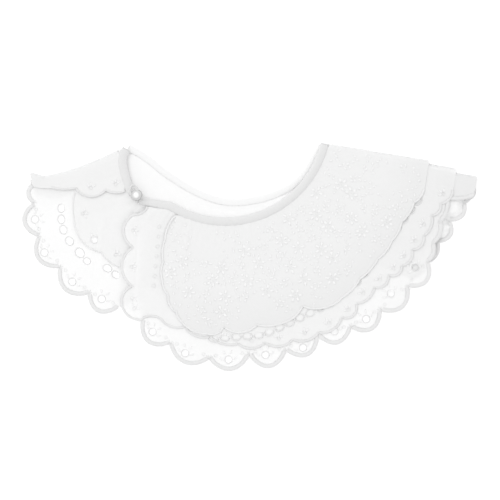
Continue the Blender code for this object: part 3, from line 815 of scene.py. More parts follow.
def back_cover(back, points):
    """The same over the back half, whose cover carries on to the edge of each shoulder fold."""
    found = cover(back, points)
    for fold, inset, reach in (
        (RIGHT_FOLD, RIGHT_INSETS["back"], RIGHT_BACK_REACH),
        (LEFT_FOLD, LEFT_INSETS["back"], LEFT_BACK_REACH),
    ):
        along = fold_along(fold, points)
        beside = (fold_depth(fold, points) < inset) & (along > -LIP_WIDTH)
        found = numpy.where(beside, 1.0 - smoothstep(along - reach, DRAPE_FROM, DRAPE_TO), found)
    return found


def pleat(points):
    """The gathers: soft ridges that run out from the neck and grow towards the hems."""
    angle, radius = about_neck(points)
    wave = PLEAT_MEAN + PLEAT_SHARE * numpy.sin(PLEATS_PER_TURN * angle + PLEAT_PHASE)
    wave += SECOND_PLEAT_SHARE * numpy.sin(SECOND_PLEATS_PER_TURN * angle + SECOND_PLEAT_PHASE)
    return PLEAT_HEIGHT * wave * smoothstep(radius, PLEAT_START, PLEAT_FULL)


def creases(points):
    """Fine gathers at the neck seam, and the listed creases."""
    points = numpy.asarray(points, float)
    angle, radius = about_neck(points)
    wave = GATHER_SHARE * numpy.sin(GATHERS_PER_TURN * angle)
    wave += SECOND_GATHER_SHARE * numpy.sin(SECOND_GATHERS_PER_TURN * angle + SECOND_GATHER_PHASE)
    height = bpy.context.scene.collar_sizes.gather / MM
    found = 0.5 * height * wave * (1.0 - smoothstep(radius, GATHER_START, GATHER_END))
    for x0, y0, x1, y1, width, rise in CREASES:
        length, ux, uy = heading((x0, y0), (x1, y1))
        fade = CREASE_FADE * length
        along = (points[..., 0] - x0) * ux + (points[..., 1] - y0) * uy
        bend = CREASE_BEND * numpy.sin(along / length * CREASE_TURNS + x0)
        across = (points[..., 0] - x0) * uy - (points[..., 1] - y0) * ux + bend
        ends = smoothstep(along, -fade, fade) * (1.0 - smoothstep(along, length - fade, length + fade))
        found = found + rise * ends * numpy.exp(-((across / width) ** 2) * CREASE_FALL)
    return found


def eyelet(centre, length, width, turn, rim=0.0):
    """An oval hole: its centre, its long and short sides, its turn in degrees and its rim's width."""
    return (centre[0], centre[1], length, width, turn, rim)


def eyelet_ring(hole):
    """The points round an eyelet."""
    x, y, length, width, turn, _ = hole
    sides = LARGE_HOLE_SIDES if length > LARGE_HOLE else SMALL_HOLE_SIDES
    cosine = math.cos(math.radians(turn))
    sine = math.sin(math.radians(turn))
    found = []
    for i in range(sides):
        angle = math.tau * i / sides
        u = 0.5 * length * math.cos(angle)
        v = 0.5 * width * math.sin(angle)
        found.append((x + u * cosine - v * sine, y + u * sine + v * cosine))
    return found


def in_eyelets(holes, points, grown):
    """Which of the points lie in one of the eyelets, with each eyelet's radius grown by this."""
    points = numpy.asarray(points, float)
    found = numpy.zeros(len(points), bool)
    for x, y, length, width, turn, _ in holes:
        cosine = math.cos(math.radians(turn))
        sine = math.sin(math.radians(turn))
        dx = points[:, 0] - x
        dy = points[:, 1] - y
        u = (dx * cosine + dy * sine) / (0.5 * length + grown)
        v = (dy * cosine - dx * sine) / (0.5 * width + grown)
        found |= u * u + v * v < 1.0
    return found


def scallop_frames(rows, side):
    """Each scallop as its chord's middle, its direction along the hem, its way out and its bulge."""
    found = []
    for start, end in zip(rows, rows[1:]):
        length, ux, uy = heading(start, end)
        middle = ((start[0] + end[0]) / 2, (start[1] + end[1]) / 2)
        found.append((middle, (ux, uy), (side * uy, -side * ux), start[2], length))
    return found


def placed(scallop, along, out):
    """A point of a scallop, this far along its chord from the middle and this far out from it."""
    middle, run, way, _, _ = scallop
    return (middle[0] + run[0] * along + way[0] * out, middle[1] + run[1] * along + way[1] * out)


def round_eyelets(centres):
    """A round eyelet at each of these points."""
    return [eyelet(centre, SCALLOP_EYELET, SCALLOP_EYELET, 0.0, SCALLOP_RIM) for centre in centres]


def turn_at(line, i):
    """The direction of a line at one of its points, in degrees."""
    right = normal_at(line, i)
    return math.degrees(math.atan2(right[0], -right[1]))


def even_ovals(rows):
    """Oval eyelets at an even pitch along a line of angles and radii, their long sides along it."""
    line = resampled([polar(radius, angle) for angle, radius in rows], OVAL_PITCH)
    return [eyelet(spot, OVAL_LENGTH, OVAL_WIDTH, turn_at(line, i), OVAL_RIM) for i, spot in enumerate(line)]


def placed_ovals(rows):
    """The oval eyelets of a table, their long sides along the row that they make."""
    line = [row[:2] for row in rows]
    return [eyelet(row[:2], row[2], row[3], turn_at(line, i), OVAL_RIM) for i, row in enumerate(rows)]


def front_neck():
    """The middle of the front binding, from the button round to the right shoulder."""
    sweep = FRONT_NECK_FIRST_ANGLE - FRONT_NECK_LAST_ANGLE
    arc = []
    for i in range(FRONT_ARC_STEPS + 1):
        arc.append(polar(FRONT_BINDING_RADIUS, FRONT_NECK_FIRST_ANGLE - sweep * i / FRONT_ARC_STEPS))
    return resampled(smoothed(list(FRONT_NECK_START), 2) + arc, NECK_STEP)


def back_outline():
    """The outline of the folded-under back: neck, right fold, visible hem, hidden edge, left fold."""
    line = resampled(smoothed(list(BACK_NECK), 1), BACK_NECK_STEP)
    neck = offset_line(line, BACK_BINDING_WIDTH / 2 - SEAM_TUCK)
    neck = [point for point in neck if fold_depth(RIGHT_FOLD, point) > RIGHT_INSETS["back"]]
    neck = [point for point in neck if fold_depth(LEFT_FOLD, point) > LEFT_INSETS["back"]]
    start = fold_along(RIGHT_FOLD, neck[-1]) + NECK_LEAD
    finish = fold_along(LEFT_FOLD, neck[0]) + LEFT_NECK_LEAD
    right = fold_line(RIGHT_FOLD, start, RIGHT_BACK_REACH, RIGHT_INSETS["back"])
    left = fold_line(LEFT_FOLD, LEFT_BACK_REACH, finish, LEFT_INSETS["back"])
    hem = scalloped(BACK_HEM, -1.0)
    hidden = []
    for i in range(BACK_HIDDEN_ANGLES):
        hidden.append(polar(BACK_HIDDEN_RADIUS, BACK_HIDDEN_FIRST_ANGLE + BACK_HIDDEN_ANGLE_STEP * i))
    return neck + right + hem + resampled(hidden + list(BACK_HIDDEN_EDGE), HIDDEN_STEP) + left


def folded_edge(fold, inset, first, last, first_point, last_point):
    """The turned edge of a tier along its fold, with the short edges that join it to the rest."""
    crease = (inset + LIP_WIDTH + LIP_RISE, inset + LIP_WIDTH)
    start = [fold_point(fold, first, depth) for depth in crease]
    finish = [fold_point(fold, last, depth) for depth in crease[::-1]]
    lead = resampled([first_point, start[0]], CURVE_STEP)[1:-1]
    trail = resampled([finish[-1], last_point], CURVE_STEP)[1:-1]
    return lead + start + fold_line(fold, first, last, inset) + finish + trail


def front_tier_outline(inset, hem, front_edge):
    """A tier of the front: open edge, hem, right fold, then back along the neck."""
    neck = offset_line(front_neck(), BINDING_WIDTH / 2 - SEAM_TUCK)
    start = front_edge[0][:2]
    nearest = min(range(len(neck)), key=lambda i: math.dist(neck[i], start))
    clear = inset + LIP_WIDTH + LIP_RISE + LIP_CLEAR
    neck = [point for point in neck[nearest:] if fold_depth(RIGHT_FOLD, point) > clear]
    lower = scalloped(hem, 1.0)
    first = float(fold_along(RIGHT_FOLD, lower[-1]))
    last = float(fold_along(RIGHT_FOLD, neck[-1])) + NECK_LEAD
    fold = folded_edge(RIGHT_FOLD, inset, first, last, lower[-1], neck[-1])
    return scalloped(front_edge, 1.0)[:-1] + lower + fold + neck[::-1][:-1], (last, first)


def left_tier_outline(inset, hem, closing):
    """A tier of the left end: along the fold, round the hem, back up under the front, then the neck."""
    line = resampled(smoothed(list(LEFT_NECK), 1), NECK_STEP)
    neck = offset_line(line, SEAM_TUCK - BINDING_WIDTH / 2)
    lower = scalloped(hem, 1.0)
    clear = inset + LIP_WIDTH + LIP_RISE + LIP_CLEAR
    lowest = lower[-1][1] + CLOSING_CLEAR
    neck = [point for point in neck if fold_depth(LEFT_FOLD, point) > clear and point[1] > lowest]
    first = float(fold_along(LEFT_FOLD, neck[-1])) + NECK_LEAD
    last = float(fold_along(LEFT_FOLD, lower[0]))
    fold = folded_edge(LEFT_FOLD, inset, first, last, neck[-1], lower[0])
    return fold + lower + list(closing) + neck, (first, last)


def shoulder(tier):
    """The shoulder fold of a tier, and how far in from it the tier's own edge lies."""
    front = tier.startswith("front")
    insets = RIGHT_INSETS if front else LEFT_INSETS
    return (RIGHT_FOLD if front else LEFT_FOLD), insets[tier.split("_")[1]]


class Pattern:
    """The outlines of all the pieces, the heights that they lie at and the lace once it is laid out."""

    def __init__(self):
        self.back = back_outline()
        left = LEFT_INSETS
        right = RIGHT_INSETS
        self.tiers = {
            "left_base": left_tier_outline(left["base"], LEFT_BASE_HEM, LEFT_BASE_HIDDEN_EDGE),
            "left_middle": left_tier_outline(left["middle"], LEFT_MIDDLE_HEM, LEFT_MIDDLE_HIDDEN_EDGE),
            "left_top": left_tier_outline(left["top"], LEFT_TOP_HEM, ()),
            "front_base": front_tier_outline(right["base"], FRONT_BASE_HEM, FRONT_BASE_HIDDEN_EDGE),
            "front_middle": front_tier_outline(right["middle"], FRONT_MIDDLE_HEM, MIDDLE_FRONT_EDGE),
            "front_top": front_tier_outline(right["top"], FRONT_TOP_HEM, TOP_FRONT_EDGE),
        }
        self.lace = {}

    def base_level(self, points):
        return (BACK_THICKNESS + STACK_GAP) * back_cover(self.back, points) + pleat(points)

    def level(self, tier, points):
        """The underside of a tier's wall."""
        layer = CLOTH + STACK_GAP
        low = self.base_level(points)
        if tier in ("left_base", "front_base"):
            return low
        if tier == "left_middle":
            return low + layer
        if tier == "left_top":
            return low + 2.0 * layer
        over_left = low + layer + CLOTH + 2.0 * STACK_GAP
        over_base = low + layer
        part = cover(self.tiers["left_middle"][0], points)
        middle = numpy.maximum(over_base, over_base + (over_left - over_base) * part)
        return middle if tier == "front_middle" else middle + layer

    def height(self, tier, points, rise=0.0):
        """The height of a tier's cloth, or of thread this far above it, with its rounded shoulder fold."""
        points = numpy.asarray(points, float)
        if tier == "back":
            depth = edge_distance(self.back, points)
            inner = smoothstep(depth, BACK_STEP_INSET - BACK_STEP_RUN, BACK_STEP_INSET)
            full = BACK_THICKNESS + BACK_LIFT
            front = self.tiers["front_base"][0]
            tucked = inside(front, points) * smoothstep(edge_distance(front, points), TUCK_FROM, TUCK_TO)
            inner = numpy.maximum(inner, tucked)
            slope = BACK_EDGE_HEIGHT + rise + (full - BACK_EDGE_HEIGHT) * inner
            found = numpy.where(about_neck(points)[1] < NEAR_NECK, full, slope)
            below = cover(front, points)
            lift = BACK_RISE + BACK_PLEAT * pleat(points)
            lift = lift + BACK_MIDDLE_RISE * cover(self.tiers["front_middle"][0], points)
            neck = front_neck()
            seam = numpy.min([numpy.hypot(points[..., 0] - x, points[..., 1] - y) for x, y in neck], 0)
            swell = TAPE_SWELL * (1.0 - smoothstep(seam, BINDING_WIDTH / 2.0, BINDING_WIDTH))
            return found + numpy.maximum(lift * below * inner, swell)
        fold, inset = shoulder(tier)
        depth = fold_depth(fold, points) - inset
        high = self.level(tier, points) + CLOTH_LIFTS[tier.split("_")[1]] + rise + creases(points)
        if tier in UNDER_MIDDLE:
            high = high + BASE_RISE * cover(self.tiers[UNDER_MIDDLE[tier]][0], points)
        if tier == "front_top":
            edge = edge_distance(self.tiers[tier][0], points)
            outer = smoothstep(about_neck(points)[1], NEAR_NECK, NEAR_NECK + HEM_RUN)
            high = high - HEM_DROOP * outer * (1.0 - smoothstep(edge, 0.0, HEM_RUN))
        part = numpy.clip(1.0 - depth / FOLD_ROUND, 0.0, 1.0)
        drop = 1.0 - numpy.sqrt(1.0 - part * part)
        return high - (high - FOLD_FOOT) * drop


PATTERN = {}


def pattern():
    """The pattern, worked out once."""
    if "made" not in PATTERN:
        PATTERN["made"] = Pattern()
    return PATTERN["made"]


TIER_NODES = {
    "left_base": "left_base_tier",
    "left_middle": "left_middle_tier",
    "left_top": "left_top_tier",
    "front_base": "front_base_tier",
    "front_middle": "front_middle_tier",
    "front_top": "front_top_tier",
}
TIER_HEMS = {
    "left_base": (LEFT_BASE_HEM, ()),
    "left_middle": (LEFT_MIDDLE_HEM, ()),
    "left_top": (LEFT_TOP_HEM, ()),
    "front_base": (FRONT_BASE_HEM, ()),
    "front_middle": (FRONT_MIDDLE_HEM, MIDDLE_FRONT_EDGE),
    "front_top": (FRONT_TOP_HEM, TOP_FRONT_EDGE),
}


def clear_of(outline, holes, point, room):
    """True where a point is inside an outline and this far from its edge and from the eyelets so far."""
    if not inside(outline, point) or edge_distance(outline, point) < room:
        return False
    return all(math.dist(point, hole[:2]) > room for hole in holes)


def small_eyelet(centre, kind):
    """A small round eyelet of a kind, which is its diameter and its rim's width."""
    return eyelet(centre, kind[0], kind[0], 0.0, kind[1])


def flower(centre, turn, petals, sizes):
    """A small eyelet with satin-stitched petals round it."""
    reach = sizes.flower_radius / MM
    leaves = []
    for i in range(petals):
        angle = math.radians(turn + 360.0 * i / petals)
        spot = (centre[0] + reach * math.cos(angle), centre[1] + reach * math.sin(angle))
        leaves.append((*spot, sizes.petal_length / MM, sizes.petal_width / MM, math.degrees(angle)))
    return small_eyelet(centre, FLOWER_EYE), leaves


def in_patches(centre, share_kept=1.0):
    """True inside a part of the top tier that is left plain, or inside this share of its radius."""
    return any(math.dist(centre, patch[:2]) < patch[2] * share_kept for patch in PLAIN_PATCHES)


def sprig(centre, turn, side):
    """A curved stem of padded leaves."""
    leaves = []
    for along, across, angle, length in SPRIG:
        v = side * across + side * along * along * SPRIG_BEND
        x = centre[0] + along * math.cos(turn) - v * math.sin(turn)
        y = centre[1] + along * math.sin(turn) + v * math.cos(turn)
        leaves.append((x, y, length, SPRIG_LEAF_WIDTH, math.degrees(turn) + side * angle))
    return leaves


def top_lace(sizes):
    """The all-over flower lace of the top tier, in staggered rows about the neck."""
    outline = pattern().tiers["front_top"][0]
    dice = random.Random(LACE_SEED)
    holes = []
    leaves = []
    pitch = sizes.motif_pitch / MM
    radius = LACE_FROM
    row = 0
    while radius < LACE_TO:
        count = round(math.tau * radius / pitch)
        for i in range(count):
            angle = 360.0 * (i + 0.5 * (row % 2)) / count + dice.uniform(-LACE_LEAN, LACE_LEAN)
            centre = polar(radius + dice.uniform(-LACE_SWAY, LACE_SWAY), angle)
            turn = dice.uniform(0.0, 360.0)
            petals = dice.choice((5, 6, 6))
            side = dice.choice((-1.0, 1.0))
            if in_patches(centre):
                continue
            if (i + row) % 2 == 0 and clear_of(outline, holes, centre, FLOWER_ROOM):
                eye, petals_made = flower(centre, turn, petals, sizes)
                holes.append(eye)
                leaves += petals_made
            elif clear_of(outline, [], centre, SPRIG_ROOM):
                leaves += sprig(centre, math.radians(turn), side)
        radius += pitch * LACE_ROW_SHARE
        row += 1
    for _ in range(LACE_DOTS):
        centre = polar(dice.uniform(*DOT_RADII), dice.uniform(*DOT_ANGLES))
        if in_patches(centre, DOT_PATCH_SHARE):
            continue
        near = min((math.dist(centre, leaf[:2]) for leaf in leaves), default=DOT_ROOM)
        if near >= DOT_ROOM and clear_of(outline, holes, centre, DOT_EDGE_ROOM):
            long, wide = dice.choice(DOT_SHAPES)
            leaves.append((*centre, long, wide, dice.uniform(0.0, 180.0)))
    return holes, leaves


def hem_sprays(rows, side, depth):
    """Three fanned leaves and a small eyelet inside each scallop of a hem."""
    holes = []
    leaves = []
    for scallop in scallop_frames(rows, side):
        _, _, out, bulge, length = scallop
        if bulge < LEAST_BULGE or length < LEAST_SCALLOP:
            continue
        way = math.degrees(math.atan2(out[1], out[0]))
        holes.append(small_eyelet(placed(scallop, 0.0, bulge - depth), SPRAY_EYE))
        for lean in SPRAY_LEANS:
            u = SPRAY_REACH * math.sin(math.radians(lean))
            v = bulge - depth - SPRAY_REACH * math.cos(math.radians(lean))
            leaves.append((*placed(scallop, u, v), *SPRAY_LEAF, way - lean))
    return holes, leaves


def base_sprays(rows, centres):
    """Leaves beside each scallop's eyelet, and a small ring near each end of the scallop."""
    holes = []
    leaves = []
    for scallop in scallop_frames(rows, 1.0):
        middle, run, way, bulge, length = scallop
        if bulge < FULL_SCALLOP:
            continue
        x, y = min(centres, key=lambda centre: math.dist(centre, middle))
        turn = math.degrees(math.atan2(run[1], run[0]))
        for sign in (-1.0, 1.0):
            for along, out, first, lean, long in BASE_LEAVES:
                u = x + run[0] * along * sign + way[0] * out
                v = y + run[1] * along * sign + way[1] * out
                leaves.append((u, v, long, BASE_LEAF_WIDTH, turn + first + sign * lean))
            ring = placed(scallop, sign * (0.5 * length - RING_INSET), RING_DROP)
            holes.append(small_eyelet(ring, RING_EYE))
    return holes, leaves


def tier_lace(tier, sizes):
    """The eyelets and padded leaves of one tier, laid out once."""
    found = pattern().lace
    if tier not in found:
        found[tier] = top_lace(sizes) if tier == "front_top" else lower_lace(tier)
    return found[tier]


def lower_lace(tier):
    """The open eyelets of a tier, with the sprays round them that fit."""
    outline = pattern().tiers[tier][0]
    holes = []
    if tier == "left_base":
        holes = round_eyelets(LEFT_SCALLOP_EYELETS) + placed_ovals(LEFT_OVALS) + round_eyelets([LONE_EYELET])
        made = base_sprays(LEFT_BASE_HEM[1:], LEFT_SCALLOP_EYELETS)
    elif tier == "front_base":
        holes = round_eyelets(FRONT_SCALLOP_EYELETS)
        made = base_sprays(FRONT_BASE_HEM, FRONT_SCALLOP_EYELETS)
    elif tier == "left_middle":
        holes = round_eyelets([LONE_EYELET])
        made = hem_sprays(LEFT_MIDDLE_HEM[2:], 1.0, 7.5)
    elif tier == "front_middle":
        holes = even_ovals(MIDDLE_OVAL_ROW)
        hem = hem_sprays(FRONT_MIDDLE_HEM[3:], 1.0, 6.5)
        edge = hem_sprays(MIDDLE_FRONT_EDGE[1:], 1.0, 8.0)
        column = [eyelet(spot, 2.4, 2.0, 60.0, 0.5) for spot in resampled(FRONT_COLUMN, COLUMN_PITCH)]
        made = (hem[0] + edge[0] + column, hem[1] + edge[1])
    else:
        made = hem_sprays(LEFT_TOP_HEM[2:], 1.0, 7.0)
    for hole in made[0]:
        if clear_of(outline, holes, hole[:2], SPRAY_HOLE_ROOM):
            holes.append(hole)
    leaves = [leaf for leaf in made[1] if clear_of(outline, holes, leaf[:2], SPRAY_LEAF_ROOM)]
    return holes, leaves


def lattice(outline, holes, grid, near_grid):
    """Points inside an outline and clear of its edges and eyelets, on rings about the neck's centre."""
    found = []
    radius = LATTICE_FROM
    row = 0
    while radius < LATTICE_TO:
        step = near_grid if radius < NECK_GRID_TO else grid
        count = round(math.tau * radius / step)
        turns = (numpy.arange(count) + 0.5 * (row % 2)) * math.tau / count
        x = NECK_CENTRE[0] + radius * numpy.cos(turns)
        y = NECK_CENTRE[1] - radius * numpy.sin(turns)
        found.append(numpy.stack((x, y), 1))
        radius += step * RING_SPACING
        row += 1
    found = numpy.concatenate(found)
    low = numpy.min(outline, 0)
    high = numpy.max(outline, 0)
    found = found[((found > low) & (found < high)).all(1)]
    found = found[inside(outline, found)]
    found = found[edge_distance(outline, found) > EDGE_ROOM * near_grid]
    return found[~in_eyelets(holes, found, HOLE_ROOM * near_grid)]


def flat_triangles(outline, holes, extra):
    """The triangles of an outline with its eyelets, through extra points inside it."""
    points = []
    edges = []
    for loop in [outline] + [eyelet_ring(hole) for hole in holes]:
        start = len(points)
        points += loop
        edges += [(start + i, start + (i + 1) % len(loop)) for i in range(len(loop))]
    points += [tuple(point) for point in extra]
    flat, _, triangles, _, _, _ = delaunay_2d_cdt([Vector(point) for point in points], edges, [], 0, 1e-5)
    flat = numpy.array([(point.x, point.y) for point in flat])
    faces = numpy.array([tuple(triangle) for triangle in triangles if len(triangle) == 3])
    middles = flat[faces].mean(1)
    faces = faces[inside(outline, middles) & ~in_eyelets(holes, middles, 0.0)]
    a, b, c = (flat[faces[:, i]] for i in range(3))
    turned = (b[:, 0] - a[:, 0]) * (c[:, 1] - a[:, 1]) - (b[:, 1] - a[:, 1]) * (c[:, 0] - a[:, 0]) < 0
    faces[turned] = faces[turned][:, ::-1]
    used, places = numpy.unique(faces, return_inverse=True)
    return flat[used], places.reshape(faces.shape)


def make_object(name, points, faces, material, edges=()):
    """A smooth object at the origin from points in millimetres, in the collar's plan."""
    mesh = bpy.data.meshes.new(name)
    points = numpy.asarray(points, float)
    shifted = (points - numpy.array([BOX_CENTRE[0], BOX_CENTRE[1], 0.0])) * MM
    mesh.from_pydata(shifted.tolist(), [tuple(e) for e in edges], [tuple(int(i) for i in f) for f in faces])
    if material:
        mesh.materials.append(material)
    mesh.polygons.foreach_set("use_smooth", [True] * len(mesh.polygons))
    mesh.validate()
    mesh.update()
    obj = bpy.data.objects.new(name, mesh)
    bpy.context.scene.collection.objects.link(obj)
    return obj


def keep(obj, slot, *nodes):
    """The piece goes with the collar and stands for its CAD nodes, which it hides; slot is not used."""
    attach(obj, "root")
    if nodes:
        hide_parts(*nodes)
    return obj


def add_node(tree, kind, inputs=None, **settings):
    """Adds a node to a tree with its settings, and gives each named input a value or a link."""
    node = tree.nodes.new(kind)
    for setting, value in settings.items():
        setattr(node, setting, value)
    for socket, value in (inputs or {}).items():
        if isinstance(value, bpy.types.NodeSocket):
            tree.links.new(value, node.inputs[socket])
        else:
            node.inputs[socket].default_value = value
    return node


def math_of(tree, operation, *values):
    """The result of a Math node on values or links."""
    return add_node(tree, "ShaderNodeMath", dict(enumerate(values)), operation=operation).outputs[0]


def ranged(tree, value, low, high, start=0.0, end=1.0):
    """A value that runs from low to high while another runs from start to end."""
    inputs = {"Value": value, "From Min": start, "From Max": end, "To Min": low, "To Max": high}
    return add_node(tree, "ShaderNodeMapRange", inputs).outputs["Result"]


def two_tones(tree, value, *stops):
    """The colour of a ramp between two stops, each a position and a colour."""
    ramp = add_node(tree, "ShaderNodeValToRGB", {"Fac": value})
    for element, (position, tone) in zip(ramp.color_ramp.elements, stops):
        element.position = position
        element.color = (*tone, 1.0)
    return ramp.outputs["Color"]


def bumpy(tree, shader, height, strength, distance):
    """Bumps of this height on a shader's surface."""
    bump = add_node(tree, "ShaderNodeBump", {"Height": height, "Strength": strength, "Distance": distance})
    tree.links.new(bump.outputs["Normal"], shader.inputs["Normal"])


def new_material(name, constants):
    """A material with these constants on its shader, and its tree, shader and object coordinates."""
    made = bpy.data.materials.new(name)
    made.use_nodes = True
    tree = made.node_tree
    shader = tree.nodes["Principled BSDF"]
    for socket, value in constants.items():
        shader.inputs[socket].default_value = value
    return made, tree, shader, add_node(tree, "ShaderNodeTexCoord").outputs["Object"]


def woven_cotton(name, tone, thread, bias, alpha=1.0, hem=1.0, shoulder=1.0):
    """Plain-woven cotton: two crossed sets of threads with slubs, drawn a little coarse so that they show.

    hem and shoulder are the parts of its tone that it keeps as painted shade: darker far from the neck, near
    its hem, and darker towards the right shoulder.
    """
    found = bpy.data.materials.get(name)
    if found:
        return found
    constants = {
        "Alpha": alpha,
        "IOR": 1.45,
        "Specular IOR Level": 0.25,
        "Sheen Weight": 0.05,
        "Sheen Roughness": 0.5,
    }
    made, tree, shader, place = new_material(name, constants)
    turn = {"Vector": place, "Rotation": (0.0, 0.0, math.radians(bias))}
    turned = add_node(tree, "ShaderNodeMapping", turn).outputs["Vector"]
    weave = {"Vector": turned, "Scale": WAVE_BAND / thread, "Distortion": 0.6, "Detail": 1.0}
    warp, weft = (add_node(tree, "ShaderNodeTexWave", weave, bands_direction=way) for way in "XY")
    cloth = math_of(tree, "MAXIMUM", warp.outputs["Fac"], weft.outputs["Fac"])
    slub = {"Vector": turned, "Scale": 1.0 / SLUB, "Detail": 4.0, "Roughness": 0.6}
    slubs = add_node(tree, "ShaderNodeTexNoise", slub).outputs["Fac"]
    body = math_of(tree, "MULTIPLY", cloth, slubs)
    colour_of = two_tones(tree, body, (0.15, [v * 0.98 for v in tone]), (0.55, tone))
    neck = ((NECK_CENTRE[0] - BOX_CENTRE[0]) * MM, (NECK_CENTRE[1] - BOX_CENTRE[1]) * MM, 0.0)
    reach = add_node(tree, "ShaderNodeVectorMath", {0: place, 1: neck}, operation="DISTANCE")
    spot = add_node(tree, "ShaderNodeSeparateXYZ", {"Vector": place})
    # Painted shade: the tone darkens far from the neck, near the hem, and towards the right shoulder.
    hem_shade_part = ranged(tree, reach.outputs["Value"], 1.0, hem, HEM_SHADE_FROM, HEM_SHADE_TO)
    shoulder_shade_part = ranged(tree, spot.outputs["X"], 1.0, shoulder, SHOULDER_SHADE_FROM, SHOULDER_SHADE_TO)
    tint = {0: colour_of, "Scale": math_of(tree, "MULTIPLY", hem_shade_part, shoulder_shade_part)}
    shaded_colour = add_node(tree, "ShaderNodeVectorMath", tint, operation="SCALE")
    tree.links.new(shaded_colour.outputs["Vector"], shader.inputs["Base Color"])
    rough = ranged(tree, body, WEAVE_ROUGHNESS - 0.06, WEAVE_ROUGHNESS + 0.05)
    tree.links.new(rough, shader.inputs["Roughness"])
    bumpy(tree, shader, body, 0.3, 0.04 * MM)
    return made


def embroidery_cotton(name, tone, roughness):
    """Mercerised cotton thread: a silky two-ply twist, with a little variation from stitch to stitch."""
    found = bpy.data.materials.get(name)
    if found:
        return found
    constants = {"IOR": 1.5, "Specular IOR Level": 0.4, "Sheen Weight": 0.15}
    made, tree, shader, place = new_material(name, constants)
    twist = {"Vector": place, "Scale": 1.0 / FIBRE, "Detail": 3.0}
    ply = add_node(tree, "ShaderNodeTexNoise", twist).outputs["Fac"]
    colour_of = two_tones(tree, ply, (0.30, [v * 0.96 for v in tone]), (0.62, tone))
    tree.links.new(colour_of, shader.inputs["Base Color"])
    tree.links.new(ranged(tree, ply, roughness - 0.08, roughness + 0.10), shader.inputs["Roughness"])
    bumpy(tree, shader, ply, 0.3, 0.1 * MM)
    return made


def nacre(name, tone, shade, low, high):
    """A glossy pearl button with a painted highlight and painted shade: white only near its top, greyer low
    on its side, with faint growth rings.
    """
    constants = {"IOR": 1.6, "Coat Weight": 0.6, "Coat Roughness": 0.08, "Sheen Weight": 0.1}
    made, tree, shader, place = new_material(name, constants)
    height = add_node(tree, "ShaderNodeSeparateXYZ", {"Vector": place}).outputs["Z"]
    growth = {"Vector": place, "Scale": 1.0 / NACRE_RING, "Detail": 2.0}
    rings = add_node(tree, "ShaderNodeTexNoise", growth).outputs["Fac"]
    # Painted highlight and shade: white only near the top of the button's height, grey below.
    level = ranged(tree, height, 0.0, 1.0, low, high)
    wavy = math_of(tree, "MULTIPLY_ADD", rings, 0.05, level)
    tree.links.new(two_tones(tree, wavy, (0.90, shade), (0.995, tone)), shader.inputs["Base Color"])
    tree.links.new(ranged(tree, rings, 0.12, 0.22), shader.inputs["Roughness"])
    return made


def geometry_tree(name, inputs):
    """A Geometry Nodes tree with its named inputs, and its input and output nodes."""
    tree = bpy.data.node_groups.new(name, "GeometryNodeTree")
    tree.interface.new_socket("Geometry", in_out="INPUT", socket_type="NodeSocketGeometry")
    for label, kind in inputs:
        tree.interface.new_socket(label, in_out="INPUT", socket_type=kind)
    tree.interface.new_socket("Geometry", in_out="OUTPUT", socket_type="NodeSocketGeometry")
    return tree, tree.nodes.new("NodeGroupInput"), tree.nodes.new("NodeGroupOutput")


def finish_tree(tree, instances, outlet, material):
    """Makes the instances real, smooth and of one material."""
    real = add_node(tree, "GeometryNodeRealizeInstances", {"Geometry": instances})
    smooth = add_node(tree, "GeometryNodeSetShadeSmooth", {"Geometry": real.outputs[0]})
    painted = add_node(tree, "GeometryNodeSetMaterial", {"Geometry": smooth.outputs[0], "Material": material})
    tree.links.new(painted.outputs[0], outlet.inputs[0])


def stitch_tree(name, material):
    """Thread stitches at an even pitch along a line, each across it or along it."""
    lengths = [(label, "NodeSocketFloat") for label in ("Pitch", "Along", "Across", "Thickness", "Shift")]
    tree, inlet, outlet = geometry_tree(name, (*lengths, ("Seed", "NodeSocketInt")))
    line = add_node(tree, "GeometryNodeMeshToCurve", {"Mesh": inlet.outputs["Geometry"]})
    spots = add_node(
        tree,
        "GeometryNodeCurveToPoints",
        {"Curve": line.outputs["Curve"], "Length": inlet.outputs["Pitch"]},
        mode="LENGTH",
    )
    turned = add_node(
        tree,
        "FunctionNodeAlignRotationToVector",
        {"Vector": spots.outputs["Tangent"]},
        axis="X",
        pivot_axis="Z",
    )
    grain = add_node(tree, "GeometryNodeMeshUVSphere", {"Segments": 6, "Rings": 5, "Radius": 0.5})
    offset = add_node(tree, "ShaderNodeCombineXYZ", {"Y": inlet.outputs["Shift"]})
    moved = add_node(
        tree, "GeometryNodeTransform", {"Geometry": grain.outputs["Mesh"], "Translation": offset.outputs[0]}
    )
    jitter = add_node(tree, "FunctionNodeRandomValue", {"Seed": inlet.outputs["Seed"]}, data_type="FLOAT")
    jitter.inputs[2].default_value, jitter.inputs[3].default_value = STITCH_SPREAD
    across = math_of(tree, "MULTIPLY", inlet.outputs["Across"], jitter.outputs[1])
    scale = add_node(
        tree,
        "ShaderNodeCombineXYZ",
        {"X": inlet.outputs["Along"], "Y": across, "Z": inlet.outputs["Thickness"]},
    )
    sewn = add_node(
        tree,
        "GeometryNodeInstanceOnPoints",
        {
            "Points": spots.outputs["Points"],
            "Instance": moved.outputs["Geometry"],
            "Rotation": turned.outputs[0],
            "Scale": scale.outputs[0],
        },
    )
    finish_tree(tree, sewn.outputs[0], outlet, material)
    return tree


